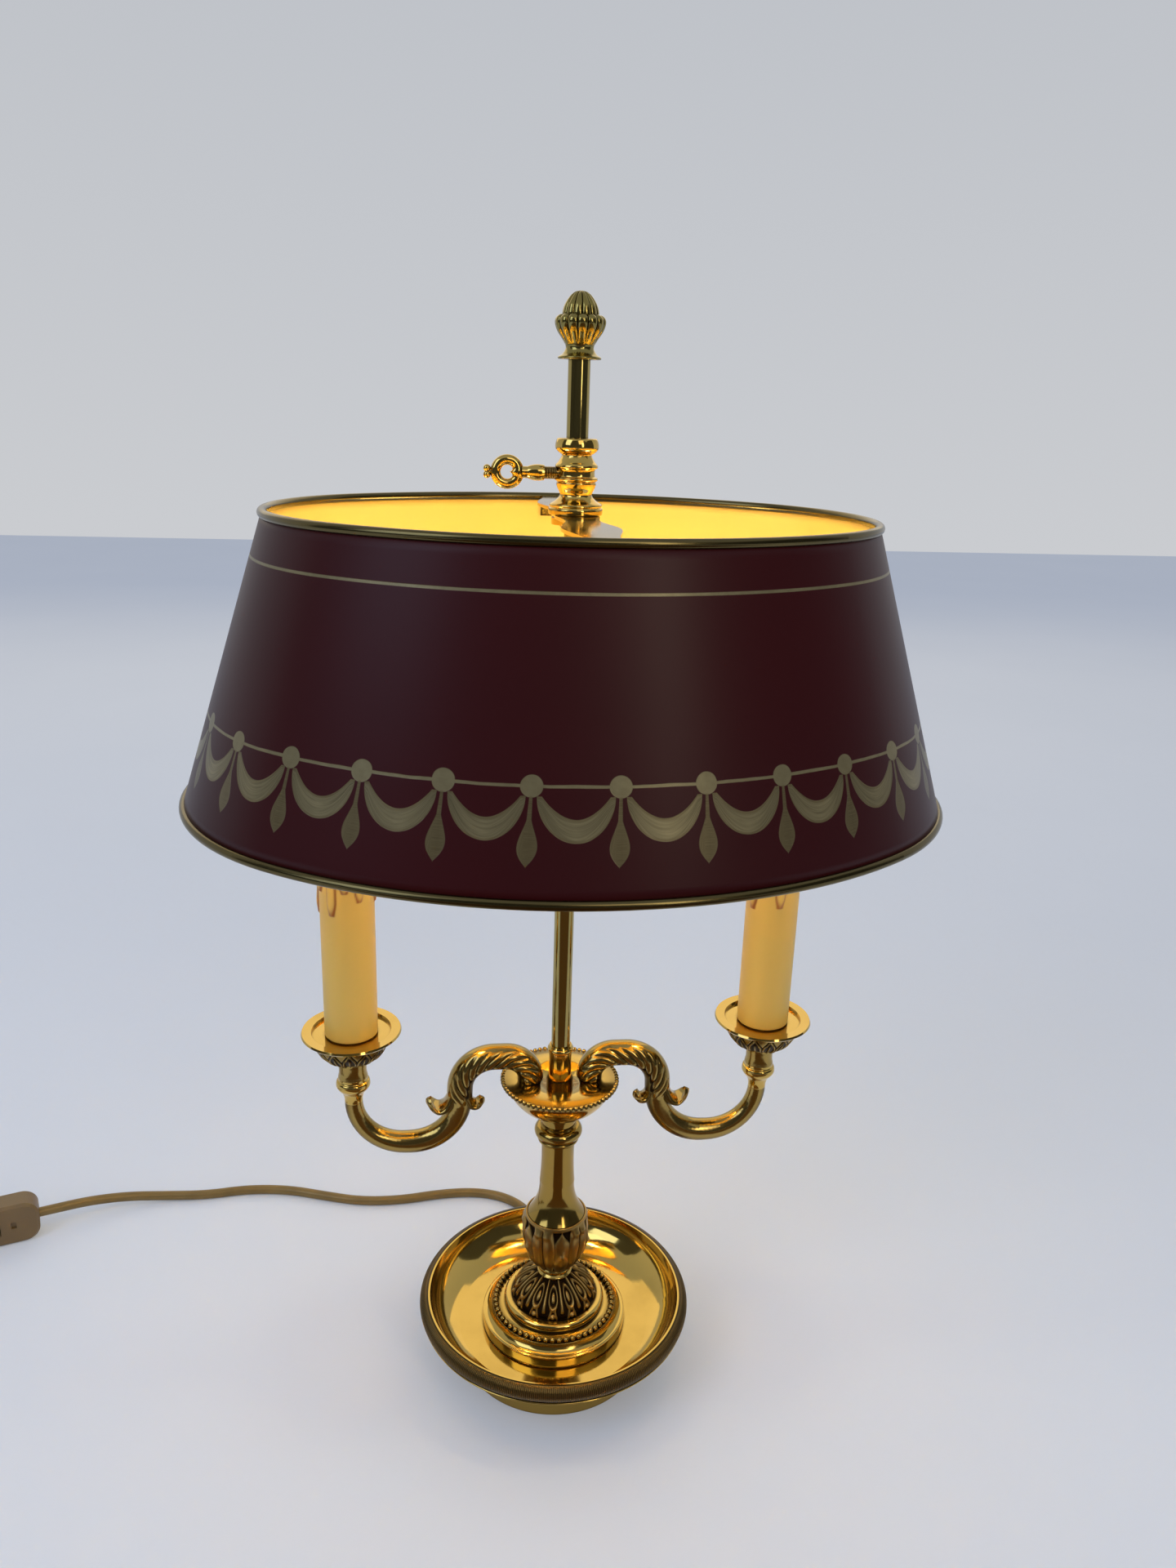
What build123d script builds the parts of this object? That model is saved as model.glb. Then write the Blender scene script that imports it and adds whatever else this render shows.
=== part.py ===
from build123d import *
import math
import os

os.makedirs("parts", exist_ok=True)

# Bouillotte lamp: a dished foot, a turned and cast column, a hub with two S-scroll arms that carry
# electric candles, and a stem on which the oval metal shade slides and is clamped by a thumb screw.
# Millimetres, +Z up, origin on the table under the stem, the two arms along X.

# ------------------------------------------------------------------ fits
BORE_FIT = 0.05         # radial clearance of a rod in its bore
SEAT_GAP = 0.3          # gap that keeps the drum of the foot off the table
WALL_FIT = 0.1          # gap between a sleeve and what it slips over

# ------------------------------------------------------------------ rods and sheet
ROD_R = 5.0             # M10 stem and tie rod
ROD_BORE_R = 4.0
SHEET = 1.2             # spun brass sheet
NUT_FLATS = 14.0        # M10 fine nuts, across flats
NUT_H = 4.0
WASHER_R = 11.0
WASHER_T = 1.5

# ------------------------------------------------------------------ foot
FELT_T = 2.0
WEIGHT_H = 17.3
FOOT_R = 51.6
FOOT_WALL = 1.4
FLOOR_R = 54.0          # flat floor of the dish
LIP_R = 70.4            # inside of the dish at its lip
LIP_RISE = 19.8         # lip above the floor
BAND_H = 9.8            # reeded band round the rim, below the lip
BAND_CAP = 0.3          # band over the dish's edge
BAND_OVERHANG = 5.9     # band's outer edge beyond the inside of the lip
BAND_LIP_T = 1.0        # plain lip under the band
BAND_LIP_OUT = 4.3      # its edge beyond the inside of the dish's lip
POCKET_R = 15.0         # pocket under the weight for the nut
POCKET_H = 13.0
CHANNEL_W = 10.6        # channel for the lead
CHANNEL_H = 11.0

# ------------------------------------------------------------------ pedestal and column
RING_R = 40.5           # stepped ring on the floor of the dish
RING_BAND_H = 7.0
RING_H = 17.0
PEARL_ROW_R = 33.2
PEARL_R = 1.55
PEARL_COUNT = 56
TORUS_R = 28.1
DOME_R = 23.7
DOME_H = 15.0
DOME_LEAVES = 12
THROAT_R = 9.1          # gold ring between dome and leaf cup
THROAT_H = 5.5
CUP_R = 18.8            # leaf cup of the column
CUP_TOP_R = 16.3
CUP_H = 33.6
CUP_LEAVES = 8
LEAF_DEPTH = 0.9
NECK_R = 8.95           # slimmest part of the column
NECK_H = 47.4
NECK_FOOT_R = 15.8
CAPITAL_R = 13.0        # ring at the top of the column
CAPITAL_NECK_R = 9.15
CAPITAL_H = 18.3

# ------------------------------------------------------------------ hub
HUB_R = 30.4
HUB_FOOT_R = 11.5
HUB_H = 18.7
HUB_PLATE_T = 1.5
HUB_PEARL_R = 1.35
HUB_PEARL_COUNT = 62
HUB_PEARL_OUT = 0.4     # pearls' centres beyond the plate's edge
FERRULE_H = 20.0
FERRULE_R = 6.0
FERRULE_RING_R = 6.9
STEM_RISE = 362.5       # hub plate to the finial

# ------------------------------------------------------------------ arms
ARM_ROOT_X = 16.5
ARM_REACH = 109.0
ARM_CREST = 12.7        # centre line's crest above the hub plate
ARM_CREST_X = 51.8      # where the crest comes down again
ARM_DIP_X = 53.9        # inner side of the lower bend
ARM_DROP = 36.3         # centre line's lowest point below the hub plate
ARM_CREST_R = 17.2
ARM_DIP_FLAT = 2.6      # straight run at the bottom of the lower bend
ARM_R = 6.1
ARM_TIP_R = 4.7
ARM_STUB_R = 4.5
ARM_STUB_L = 11.5
ARM_FLARE_L = 15.0      # turned end of the arm
ARM_END_H = 5.5         # top of the arm's end ring above the hub plate
ARM_RING_R = 8.8
ARM_NECK_R = 7.9
LEAF_T = 1.2            # acanthus leaf wrapped over the crest of the arm
LEAF_EDGE = 0.6         # its plain edges stop this far outward of the tube's middle
LEAFLET_COUNT = 9       # on each side
LEAFLET_L = 11.0
LEAFLET_W = 4.2
LEAFLET_T = 4.0
LEAFLET_LIFT = 0.6      # leaflets' middles above the tube
LEAFLET_SLANT = 52.0    # degrees between a leaflet and the arm's own line
LEAFLET_SIDE = 66.0     # degrees round the tube from its outer side

# ------------------------------------------------------------------ candles
SOCKET_CUP_R = 19.5
SOCKET_CUP_H = 24.0
SOCKET_CUP_LEAVES = 12
PAN_R = 25.6
PAN_WELL_R = 20.1
PAN_T = 1.4
PAN_RIM_H = 2.0
NIPPLE_R = 4.0
SLEEVE_R = 13.9
SLEEVE_WALL = 1.1
SLEEVE_H = 98.0
SLEEVE_LIFT = 0.7       # dark gap under the sleeve
HOLDER_R = 12.3
HOLDER_H = 42.0
HOLDER_POST_R = 6.0
CAP_R = 6.9             # E14 cap
CAP_H = 25.0
BULB_R = 17.5
BULB_L = 98.0
BULB_BELLY_H = 26.0     # widest place above the cap
GLASS_T = 0.8

# ------------------------------------------------------------------ shade and its carriage
SHADE_TOP_A = 140.0     # half length and half depth of the oval, at the beads' centres
SHADE_TOP_B = 110.6
SHADE_FOOT_A = 181.5
SHADE_FOOT_B = 143.4
SHADE_H = 131.9
SHADE_T = 0.7
BEAD_R = 2.1
OVAL_END = 1.09         # end radius of the oval against that of an ellipse
BEAD_LIFT = 0.6         # centre of the top bead below the top of the bar
BAR_T = 1.5
BAR_SEAT_W = 20.0       # width of the bar under the collar
BAR_WAIST_W = 15.6
BAR_BELLY_W = 24.8
BAR_TAB_W = 14.0
BAR_TAB_H = 11.0
RIVET_R = 1.6
RIVET_HEAD_T = 0.7
COLLAR_H = 33.5
COLLAR_FLANGE_R = 12.1
COLLAR_RING_R = 9.6
COLLAR_WAIST_R = 7.4
SPIGOT_R = 7.5
LOCKNUT_R = 11.0
LOCKNUT_H = 3.0
COLLAR_DROP = 33.5      # top of the collar below the finial
SCREW_R = 2.5           # M5 thumb screw
SCREW_FROM_TOP = 15.3
SCREW_HEAD_X = 22.3
HUB_SCREW_R = 3.6
HUB_SCREW_L = 7.6
KEY_R = 7.6             # pierced ring of the thumb screw
KEY_HOLE_R = 3.5
KEY_X = 31.4
KNOB_R = 1.7            # two small beads at the screw's outer end
SCREW_REACH = 42.2
FINIAL_H = 28.2
FINIAL_FLANGE_R = 9.6
FINIAL_BULB_R = 11.2
FINIAL_BUD_R = 7.9
FINIAL_FLUTES = 12
FINIAL_BORE_H = 9.0

# ------------------------------------------------------------------ cord set
CORD_R = 3.0
FLOOR_LIFT = 0.05       # cord above the table
LEAD_R = 2.2            # lead inside the lamp
LEAD_BEND = 7.0
GLAND_Z = 7.2
GLAND_R = 5.0
BUSH_L = 4.0
RELIEF_R = 5.4
RELIEF_TIP_R = 3.9
RELIEF_L = 24.0
SWITCH_L = 66.0
SWITCH_T = 16.0
SWITCH_W = 28.0
SWITCH_AT = (-353.0, 113.4)
SWITCH_TURN = 18.4      # degrees about Z
ROCKER_L = 19.0
ROCKER_W = 11.0
ROCKER_PROUD = 2.2
ROCKER_TILT = 7.0
ROCKER_GAP = 0.8
ROCKER_DEEP = 1.6        # trunnions' depth under the face
PIVOT_R = 1.1
COIL_MEAN_R = 33.0
COIL_LANES = 3
COIL_LAYERS = 2
COIL_AT = (-383.0, 22.0)
PLUG_W = 35.0
PLUG_H = 13.8
PLUG_L = 34.0
PLUG_TAIL_L = 22.0
PLUG_PIN_R = 2.0
PLUG_PIN_L = 19.0
PLUG_PITCH = 19.0
PLUG_Y = -28.0          # rear end of the plug's tail

# ------------------------------------------------------------------ levels worked out from the above
WEIGHT_TOP = FELT_T + WEIGHT_H
NUT_Z = FELT_T + POCKET_H - WASHER_T - NUT_H
FLOOR_Z = WEIGHT_TOP + SHEET
DOME_Z = FLOOR_Z + RING_H
THROAT_Z = DOME_Z + DOME_H
CUP_Z = THROAT_Z + THROAT_H
NECK_Z = CUP_Z + CUP_H
CAPITAL_Z = NECK_Z + NECK_H
HUB_Z = CAPITAL_Z + CAPITAL_H
PLATE_Z = HUB_Z + HUB_H
HUB_TOP = PLATE_Z + HUB_PLATE_T
FERRULE_TOP = HUB_TOP + FERRULE_H
STEM_FOOT = HUB_TOP + FERRULE_H / 2
FINIAL_Z = HUB_TOP + STEM_RISE
SOCKET_Z = HUB_TOP + ARM_END_H
PAN_Z = SOCKET_Z + SOCKET_CUP_H
WELL_Z = PAN_Z + PAN_T
SLEEVE_Z = WELL_Z + SLEEVE_LIFT
HOLDER_TOP = SLEEVE_Z + SLEEVE_H - 3.0
CAP_Z = HOLDER_TOP - CAP_H + 1.0
COLLAR_TOP = FINIAL_Z - COLLAR_DROP
BAR_TOP = COLLAR_TOP - COLLAR_H
TOP_BEAD_Z = BAR_TOP - BEAD_LIFT
FOOT_BEAD_Z = TOP_BEAD_Z - SHADE_H
SCREW_Z = COLLAR_TOP - SCREW_FROM_TOP
BORE_R = ROD_R + BORE_FIT


def save(node, *solids):
    """Writes one node; several solids are kept apart in it."""
    shape = solids[0] if len(solids) == 1 else Compound(children=list(solids))
    export_step(shape, f"parts/{node}.step")


def turned(*points, hole=BORE_R):
    """A turned piece: the outside from the bottom up, given as (radius, height), round a bore.

    A point may also be an arc, given as (middle point, end point)."""
    first = points[0]
    edges = [Line((hole, first[1]), first)]
    at = first
    for point in points[1:]:
        if isinstance(point[0], tuple):
            edges.append(ThreePointArc(at, point[0], point[1]))
            at = point[1]
        else:
            edges.append(Line(at, point))
            at = point
    edges.append(Line(at, (hole, at[1])))
    edges.append(Line((hole, at[1]), (hole, first[1])))
    face = make_face(edges)
    return revolve(Plane.XZ * face, Axis.Z)


def ring_solid(outer, inner, low, high, x=0.0, y=0.0):
    """A plain ring or tube between two heights."""
    height = high - low
    body = Cylinder(outer, height) - Cylinder(inner, height)
    return Pos(x, y, (low + high) / 2) * body


def rod_solid(radius, low, high, x=0.0, y=0.0):
    return Pos(x, y, (low + high) / 2) * Cylinder(radius, high - low)


def hex_nut(low, x=0.0, y=0.0, hole=BORE_R):
    """A hexagon nut standing on a level."""
    blank = extrude(RegularPolygon(NUT_FLATS / 2, 6, major_radius=False), NUT_H)
    return Pos(x, y, low) * (blank - Pos(0, 0, NUT_H / 2) * Cylinder(hole, NUT_H))


def pearl(radius):
    """One bead of a pearl row, as a squat eight-sided barrel."""
    half = extrude(RegularPolygon(radius, 8), radius * 0.8, taper=28)
    return half + mirror(half, Plane.XY)


def pearl_row(count, row_radius, radius, height):
    """A row of beads that are cast in one with the piece that carries them."""
    bead = Rot(0, 90, 0) * pearl(radius)
    return [Rot(0, 0, 360 * i / count) * Pos(row_radius, 0, height) * bead for i in range(count)]


def lobed_level(radius, height, lobes, depth):
    """A closed outline of equal round lobes, at one level."""
    step = 2 * math.pi / lobes
    edges = []
    for i in range(lobes):
        ends = [((radius - depth) * math.cos(turn), (radius - depth) * math.sin(turn), height)
                for turn in (i * step, (i + 1) * step)]
        turn = (i + 0.5) * step
        crown = (radius * math.cos(turn), radius * math.sin(turn), height)
        edges.append(ThreePointArc(ends[0], crown, ends[1]))
    return make_face(edges)


def lobed(levels, lobes):
    """A leafy or fluted body lofted through levels of (radius, height, lobe depth)."""
    outlines = [lobed_level(radius, height, lobes, depth) for radius, height, depth in levels]
    return loft(outlines, ruled=True)


# ------------------------------------------------------------------ foot
def base_felt():
    return rod_solid(FOOT_R - FOOT_WALL - WALL_FIT, 0, FELT_T)


def gland_hole(radius, depth):
    """A cylinder along Y on the gland's axis, through the back of the foot."""
    return Pos(0, FOOT_R, GLAND_Z) * Rot(90, 0, 0) * Cylinder(radius, depth)


def foot_ring():
    inner = FOOT_R - FOOT_WALL
    wall = ring_solid(FOOT_R, inner, SEAT_GAP, WEIGHT_TOP)
    return wall - gland_hole(GLAND_R + BORE_FIT, 6 * FOOT_WALL)


def base_weight():
    body = rod_solid(FOOT_R - FOOT_WALL - 2 * WALL_FIT, FELT_T, WEIGHT_TOP)
    pocket = rod_solid(POCKET_R, FELT_T, FELT_T + POCKET_H)
    channel = Pos(0, FOOT_R / 2, FELT_T + CHANNEL_H / 2) * Box(CHANNEL_W, FOOT_R, CHANNEL_H)
    return body - pocket - channel - rod_solid(BORE_R, FELT_T, WEIGHT_TOP)


def dish_section(grow):
    """Half of the dish's wall as an arc, moved outward by the sheet's thickness where asked."""
    low = (FLOOR_R + 0.35 * grow, FLOOR_Z - grow)
    high = (LIP_R + grow, FLOOR_Z + LIP_RISE)
    middle = ((low[0] + high[0]) / 2 + 2.5 + 0.3 * grow, (low[1] + high[1]) / 2 - 3.2 - 0.3 * grow)
    return low, middle, high


def base_dish():
    inner = dish_section(0)
    outer = dish_section(SHEET)
    face = make_face([
        Line((BORE_R, FLOOR_Z - SHEET), outer[0]),
        ThreePointArc(*outer),
        Line(outer[2], inner[2]),
        ThreePointArc(*inner),
        Line(inner[0], (BORE_R, FLOOR_Z)),
        Line((BORE_R, FLOOR_Z), (BORE_R, FLOOR_Z - SHEET)),
    ])
    return revolve(Plane.XZ * face, Axis.Z)


def rim_band():
    """Half-round band round the lip of the dish, with a plain lip under it."""
    low, high = FLOOR_Z + LIP_RISE - BAND_H, FLOOR_Z + LIP_RISE + BAND_CAP
    face = make_face([
        ThreePointArc((LIP_R, low), (LIP_R + BAND_OVERHANG, (low + high) / 2), (LIP_R, high)),
        Line((LIP_R, high), (LIP_R, low)),
    ])
    lip = ring_solid(LIP_R + BAND_LIP_OUT, FLOOR_R, low, low + BAND_LIP_T)
    foot, middle, edge = dish_section(SHEET)
    filled_dish = turned(foot, (middle, edge), hole=0)
    return revolve(Plane.XZ * face, Axis.Z) + lip - filled_dish


# ------------------------------------------------------------------ pedestal and column
def pedestal_ring():
    """Stepped cast ring with its row of pearls."""
    z = FLOOR_Z
    row = PEARL_ROW_R
    groove = z + RING_H - 5.6
    pearls = pearl_row(PEARL_COUNT, row, PEARL_R, groove + PEARL_R * 0.7)
    ring = turned(
        (RING_R, z),
        (RING_R, z + RING_BAND_H - 1),
        ((RING_R - 0.3, z + RING_BAND_H - 0.3), (RING_R - 1, z + RING_BAND_H)),
        ((RING_R - 3.4, z + RING_BAND_H + 0.8), (row + PEARL_R + 0.2, groove)),
        (row - PEARL_R - 0.3, groove),
        (TORUS_R - 1.2, z + RING_H - 4.6),
        ((TORUS_R, z + RING_H - 2.3), (TORUS_R - 1.6, z + RING_H - 0.2)),
        (DOME_R, z + RING_H),
    )
    return ring.fuse(*pearls)


def leaf_dome():
    z = DOME_Z
    levels = [(DOME_R - 0.2, z, 0.5), (DOME_R - 0.7, z + 3.2, 1.3), (DOME_R * 0.86, z + 7, 1.5),
              (DOME_R * 0.66, z + 11, 1.0), (THROAT_R + 0.8, z + DOME_H, 0.3)]
    return lobed(levels, DOME_LEAVES) - rod_solid(BORE_R, z, z + DOME_H)


def throat_ring():
    z, r, h = THROAT_Z, THROAT_R, THROAT_H
    return turned((r + 0.4, z), ((r + 0.7, z + 0.7), (r + 0.2, z + 1.4)), (r - 0.7, z + 2.2),
                  ((r + 0.5, z + h - 1.6), (r - 0.4, z + h)))


def leaf_cup():
    z, h = CUP_Z, CUP_H
    levels = [(THROAT_R + 0.4, z, 0.1), (CUP_R * 0.80, z + h * 0.24, LEAF_DEPTH),
              (CUP_R * 0.98, z + h * 0.52, LEAF_DEPTH), (CUP_R, z + h * 0.72, LEAF_DEPTH),
              (CUP_R * 0.95, z + h * 0.9, LEAF_DEPTH * 0.8), (CUP_TOP_R, z + h, 0.2)]
    return lobed(levels, CUP_LEAVES) - rod_solid(BORE_R, z, z + h)


def column_neck():
    z, h = NECK_Z, NECK_H
    return turned(
        (NECK_FOOT_R, z),
        (NECK_FOOT_R, z + 0.8),
        ((NECK_R + 2.6, z + h * 0.18), (NECK_R + 0.7, z + h * 0.46)),
        ((NECK_R, z + h * 0.72), (NECK_R + 0.25, z + h)),
    )


def column_capital():
    z, h, r = CAPITAL_Z, CAPITAL_H, CAPITAL_R
    return turned(
        (r - 3.3, z),
        ((r - 1.8, z + 1.2), (r - 3.0, z + 2.5)),
        ((r, z + 6.2), (r - 3.2, z + 9.6)),
        (CAPITAL_NECK_R, z + 10.2),
        ((CAPITAL_NECK_R + 0.5, z + 14), (CAPITAL_NECK_R, z + h)),
    )


# ------------------------------------------------------------------ hub and stem
def hub_section(grow):
    low = (HUB_FOOT_R + 0.3 * grow, HUB_Z + grow)
    rim = HUB_R + HUB_PEARL_OUT - HUB_PEARL_R - WALL_FIT
    middle = (rim * 0.76 - 0.5 * grow, HUB_Z + HUB_H * 0.36 + 0.9 * grow)
    high = (rim - grow, PLATE_Z)
    return low, middle, high


def hub_bowl():
    outer = hub_section(0)
    inner = hub_section(SHEET)
    face = make_face([
        Line((BORE_R, HUB_Z), outer[0]),
        ThreePointArc(*outer),
        Line(outer[2], inner[2]),
        ThreePointArc(*inner),
        Line(inner[0], (BORE_R, HUB_Z + SHEET)),
        Line((BORE_R, HUB_Z + SHEET), (BORE_R, HUB_Z)),
    ])
    return revolve(Plane.XZ * face, Axis.Z)


def hub_plate():
    """Top plate with the two holes for the arms and its pearl edge."""
    plate = ring_solid(HUB_R, BORE_R, PLATE_Z, HUB_TOP)
    middle = (PLATE_Z + HUB_TOP) / 2
    pearls = pearl_row(HUB_PEARL_COUNT, HUB_R + HUB_PEARL_OUT, HUB_PEARL_R, middle)
    for side in (-1, 1):
        plate -= rod_solid(ARM_STUB_R + BORE_FIT, PLATE_Z, HUB_TOP, x=side * ARM_ROOT_X)
    return plate.fuse(*pearls)


def stem_ferrule():
    z, top, r = HUB_TOP, FERRULE_TOP, FERRULE_R
    ring = FERRULE_RING_R
    return turned((r, z), (r, top - 4), ((ring, top - 2.4), (r + 0.3, top - 1.0)), (r - 0.2, top))


def tie_rod():
    """Threaded tube that clamps everything from the weight up to the hub."""
    return ring_solid(ROD_R, ROD_BORE_R, NUT_Z - 0.5, STEM_FOOT)


def stem_rod():
    return ring_solid(ROD_R, ROD_BORE_R, STEM_FOOT, FINIAL_Z + FINIAL_BORE_H - 1)


def clamp_nuts():
    """Nuts on the tie rod: one in the pocket of the weight, one inside the hub."""
    return [hex_nut(NUT_Z), hex_nut(HUB_Z + SHEET)]


def base_washer():
    top = FELT_T + POCKET_H
    return ring_solid(WASHER_R, BORE_R, top - WASHER_T, top)


# ------------------------------------------------------------------ arms
def arm_path():
    """Centre line of the right arm, from the hub plate to its turned end."""
    crest = HUB_TOP + ARM_CREST
    dip = HUB_TOP - ARM_DROP
    end = SOCKET_Z - ARM_FLARE_L + 1.0
    corners = [(ARM_ROOT_X, HUB_TOP), (ARM_ROOT_X, crest), (ARM_CREST_X, crest),
               (ARM_DIP_X, dip), (ARM_REACH, dip), (ARM_REACH, end)]
    points = [(x, 0, z) for x, z in corners]
    rise = ARM_CREST * 0.98
    half_turn = (math.pi / 2 - math.atan2(ARM_DIP_X - ARM_CREST_X, crest - dip)) / 2
    wide = (ARM_REACH - ARM_DIP_X - ARM_DIP_FLAT) / (1 + math.tan(half_turn))
    dip_r = min(wide, (end - dip) * 0.98)
    return FilletPolyline(*points, radius=[rise, ARM_CREST_R, dip_r, dip_r])


def arm_tube(path):
    """The arm's tube: even from the hub to the dip, tapering where it rises to the candle."""
    edges = path.edges()
    even = Wire(edges[:-2])
    rest = Wire(edges[-2:])
    tube = sweep((even ^ 0) * Circle(ARM_R), path=even)
    sections = [(rest ^ t) * Circle(ARM_R + (ARM_TIP_R - ARM_R) * t) for t in (0.0, 1.0)]
    return tube + sweep(sections, path=rest, multisection=True)


def outward(tangent):
    """The outer side of the arm's curve, square to its line."""
    return Vector(-tangent.Z, 0, tangent.X)


def leaf_sheath(crest):
    """The body of the leaf: a shell over the outer side of the tube."""
    start = Plane(origin=crest @ 0, x_dir=outward(crest % 0), z_dir=crest % 0)
    shell = Circle(ARM_R + LEAF_T)
    half = Pos(2 * ARM_R + LEAF_EDGE, 0) * Rectangle(4 * ARM_R, 4 * ARM_R)
    return sweep(start * (shell & half), path=crest)


def leaflet(crest, share, side):
    """One rounded leaflet on the side of the arm, slanting away from the hub."""
    tangent = crest % share
    turn = math.radians(LEAFLET_SIDE)
    slant = math.radians(LEAFLET_SLANT)
    radial = outward(tangent) * math.cos(turn) + Vector(0, side, 0) * math.sin(turn)
    down = Vector(0, side, 0) * math.cos(turn) - outward(tangent) * math.sin(turn)
    place = Plane(origin=crest @ share + radial * (ARM_R + LEAFLET_LIFT), z_dir=radial,
                  x_dir=tangent * math.cos(slant) + down * math.sin(slant))
    return place * scale(Sphere(0.5), by=(LEAFLET_L, LEAFLET_W, LEAFLET_T))


def leaf(path):
    """Acanthus leaf over the crest of the arm, with a row of leaflets on each side."""
    crest = Wire(path.edges()[:5])
    margin = LEAFLET_L * 0.6 / crest.length
    step = (1 - 2 * margin) / (LEAFLET_COUNT - 1)
    row = [leaflet(crest, margin + i * step, side) for i in range(LEAFLET_COUNT) for side in (-1, 1)]
    return [leaf_sheath(crest), *row]


def leaf_tip(stations):
    """A curled end of the leaf, lofted through ellipses.

    Each is (x, z, half thickness, half width), in radii of the tube, from the point where the leaf
    ends, and the tilt of its section in degrees."""
    root = Vector(ARM_DIP_X, 0, HUB_TOP - ARM_CREST)
    sections = [Pos(root + Vector(x, 0, z) * ARM_R) * Rot(0, tilt, 0) * Ellipse(thick * ARM_R, wide * ARM_R)
                for x, z, thick, wide, tilt in stations]
    return loft(sections)


def arm(side):
    path = arm_path()
    stub = rod_solid(ARM_STUB_R, HUB_TOP - ARM_STUB_L, HUB_TOP + 2, x=ARM_ROOT_X)
    z = SOCKET_Z
    foot = z - ARM_FLARE_L
    flare = turned(
        (ARM_TIP_R, foot),
        ((ARM_TIP_R + 0.4, foot + 3.4), (ARM_NECK_R, z - 7.4)),
        ((ARM_RING_R, z - 4.2), (ARM_NECK_R, z - 1.6)),
        (ARM_NECK_R, z),
        hole=0,
    )
    outer_tip = leaf_tip([
        (0.60, 1.05, 0.40, 0.95, 175),
        (1.02, -0.15, 0.42, 1.05, 132),
        (1.75, -0.62, 0.34, 1.00, 85),
        (2.35, -0.35, 0.27, 0.80, 50),
        (2.70, 0.15, 0.12, 0.42, 35),
    ])
    inner_tip = leaf_tip([
        (-0.60, 0.90, 0.45, 0.80, 200),
        (-1.00, -0.10, 0.40, 0.80, 225),
        (-1.50, -0.45, 0.33, 0.78, 265),
        (-2.00, -0.10, 0.26, 0.62, 310),
        (-2.15, 0.40, 0.12, 0.34, 345),
    ])
    whole = arm_tube(path) + stub + Pos(ARM_REACH, 0, 0) * flare + outer_tip + inner_tip
    whole = whole.fuse(*leaf(path))
    return whole if side > 0 else mirror(whole, Plane.YZ)


def arm_nuts():
    level = PLATE_Z - NUT_H
    return [hex_nut(level, x=side * ARM_ROOT_X, hole=ARM_STUB_R + BORE_FIT) for side in (-1, 1)]


# ------------------------------------------------------------------ candles
def socket_cup(side):
    """Cast cup with a leaf collar, between the arm's end and the drip pan."""
    z, h = SOCKET_Z, SOCKET_CUP_H
    neck = turned((ARM_NECK_R - 0.2, z), ((ARM_NECK_R - 0.8, z + h * 0.2), (ARM_NECK_R, z + h * 0.42)),
                  hole=NIPPLE_R + BORE_FIT)
    low = z + h * 0.42
    levels = [(ARM_NECK_R + 0.7, low, 0.2), (SOCKET_CUP_R * 0.72, low + h * 0.14, 0.7),
              (SOCKET_CUP_R * 0.93, low + h * 0.34, 0.9), (SOCKET_CUP_R, z + h, 0.2)]
    cup = lobed(levels, SOCKET_CUP_LEAVES) - rod_solid(NIPPLE_R + BORE_FIT, low, z + h)
    return Pos(side * ARM_REACH, 0, 0) * (neck + cup)


def drip_pan(side):
    z = PAN_Z
    face = make_face(Polyline(
        (NIPPLE_R + BORE_FIT, z), (PAN_WELL_R, z), (PAN_R - 0.8, z + PAN_RIM_H - 0.4),
        (PAN_R, z + PAN_RIM_H + 0.4), (PAN_R - 0.5, z + PAN_RIM_H + PAN_T),
        (PAN_WELL_R + 0.3, z + PAN_RIM_H + PAN_T - 0.3), (PAN_WELL_R, z + PAN_T),
        (NIPPLE_R + BORE_FIT, z + PAN_T), close=True))
    return Pos(side * ARM_REACH, 0, 0) * revolve(Plane.XZ * face, Axis.Z)


def cup_nipple(side):
    """Threaded tube that holds arm, cup, pan and lampholder together."""
    return ring_solid(NIPPLE_R, NIPPLE_R - 1.0, SOCKET_Z, WELL_Z + 6.0, x=side * ARM_REACH)


def lampholder(side):
    """E14 candle lampholder: a post on the nipple and the screw socket at its top."""
    post = rod_solid(HOLDER_POST_R, WELL_Z, HOLDER_TOP - HOLDER_H)
    head = rod_solid(HOLDER_R, HOLDER_TOP - HOLDER_H, HOLDER_TOP)
    base = rod_solid(HOLDER_R - 0.6, WELL_Z, WELL_Z + 2.0)
    socket = rod_solid(CAP_R + WALL_FIT, CAP_Z - 2.0, HOLDER_TOP)
    nipple = rod_solid(NIPPLE_R + BORE_FIT, WELL_Z, WELL_Z + 8.0)
    return Pos(side * ARM_REACH, 0, 0) * (post + head + base - socket - nipple)


def candle_sleeve(side):
    inner = SLEEVE_R - SLEEVE_WALL
    return ring_solid(SLEEVE_R, inner, SLEEVE_Z, SLEEVE_Z + SLEEVE_H, x=side * ARM_REACH)


def bulb_cap(side):
    x = side * ARM_REACH
    tip = rod_solid(CAP_R * 0.5, CAP_Z - 1.6, CAP_Z, x=x)
    return rod_solid(CAP_R, CAP_Z, CAP_Z + CAP_H, x=x) + tip


def bulb_outline(inset):
    """Half outline of the candle bulb's glass, from the cap to the tip, as two arcs."""
    foot = CAP_Z + CAP_H
    tip = CAP_Z + BULB_L
    belly = foot + BULB_BELLY_H
    shoulder = ThreePointArc((CAP_R - inset, foot), (BULB_R * 0.83 - inset, foot + BULB_BELLY_H * 0.46),
                             (BULB_R - inset, belly))
    flame = ThreePointArc((BULB_R - inset, belly), (BULB_R * 0.77 - inset, belly + (tip - belly) * 0.5),
                          (0.6, tip - inset * 2))
    return shoulder, flame


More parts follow.
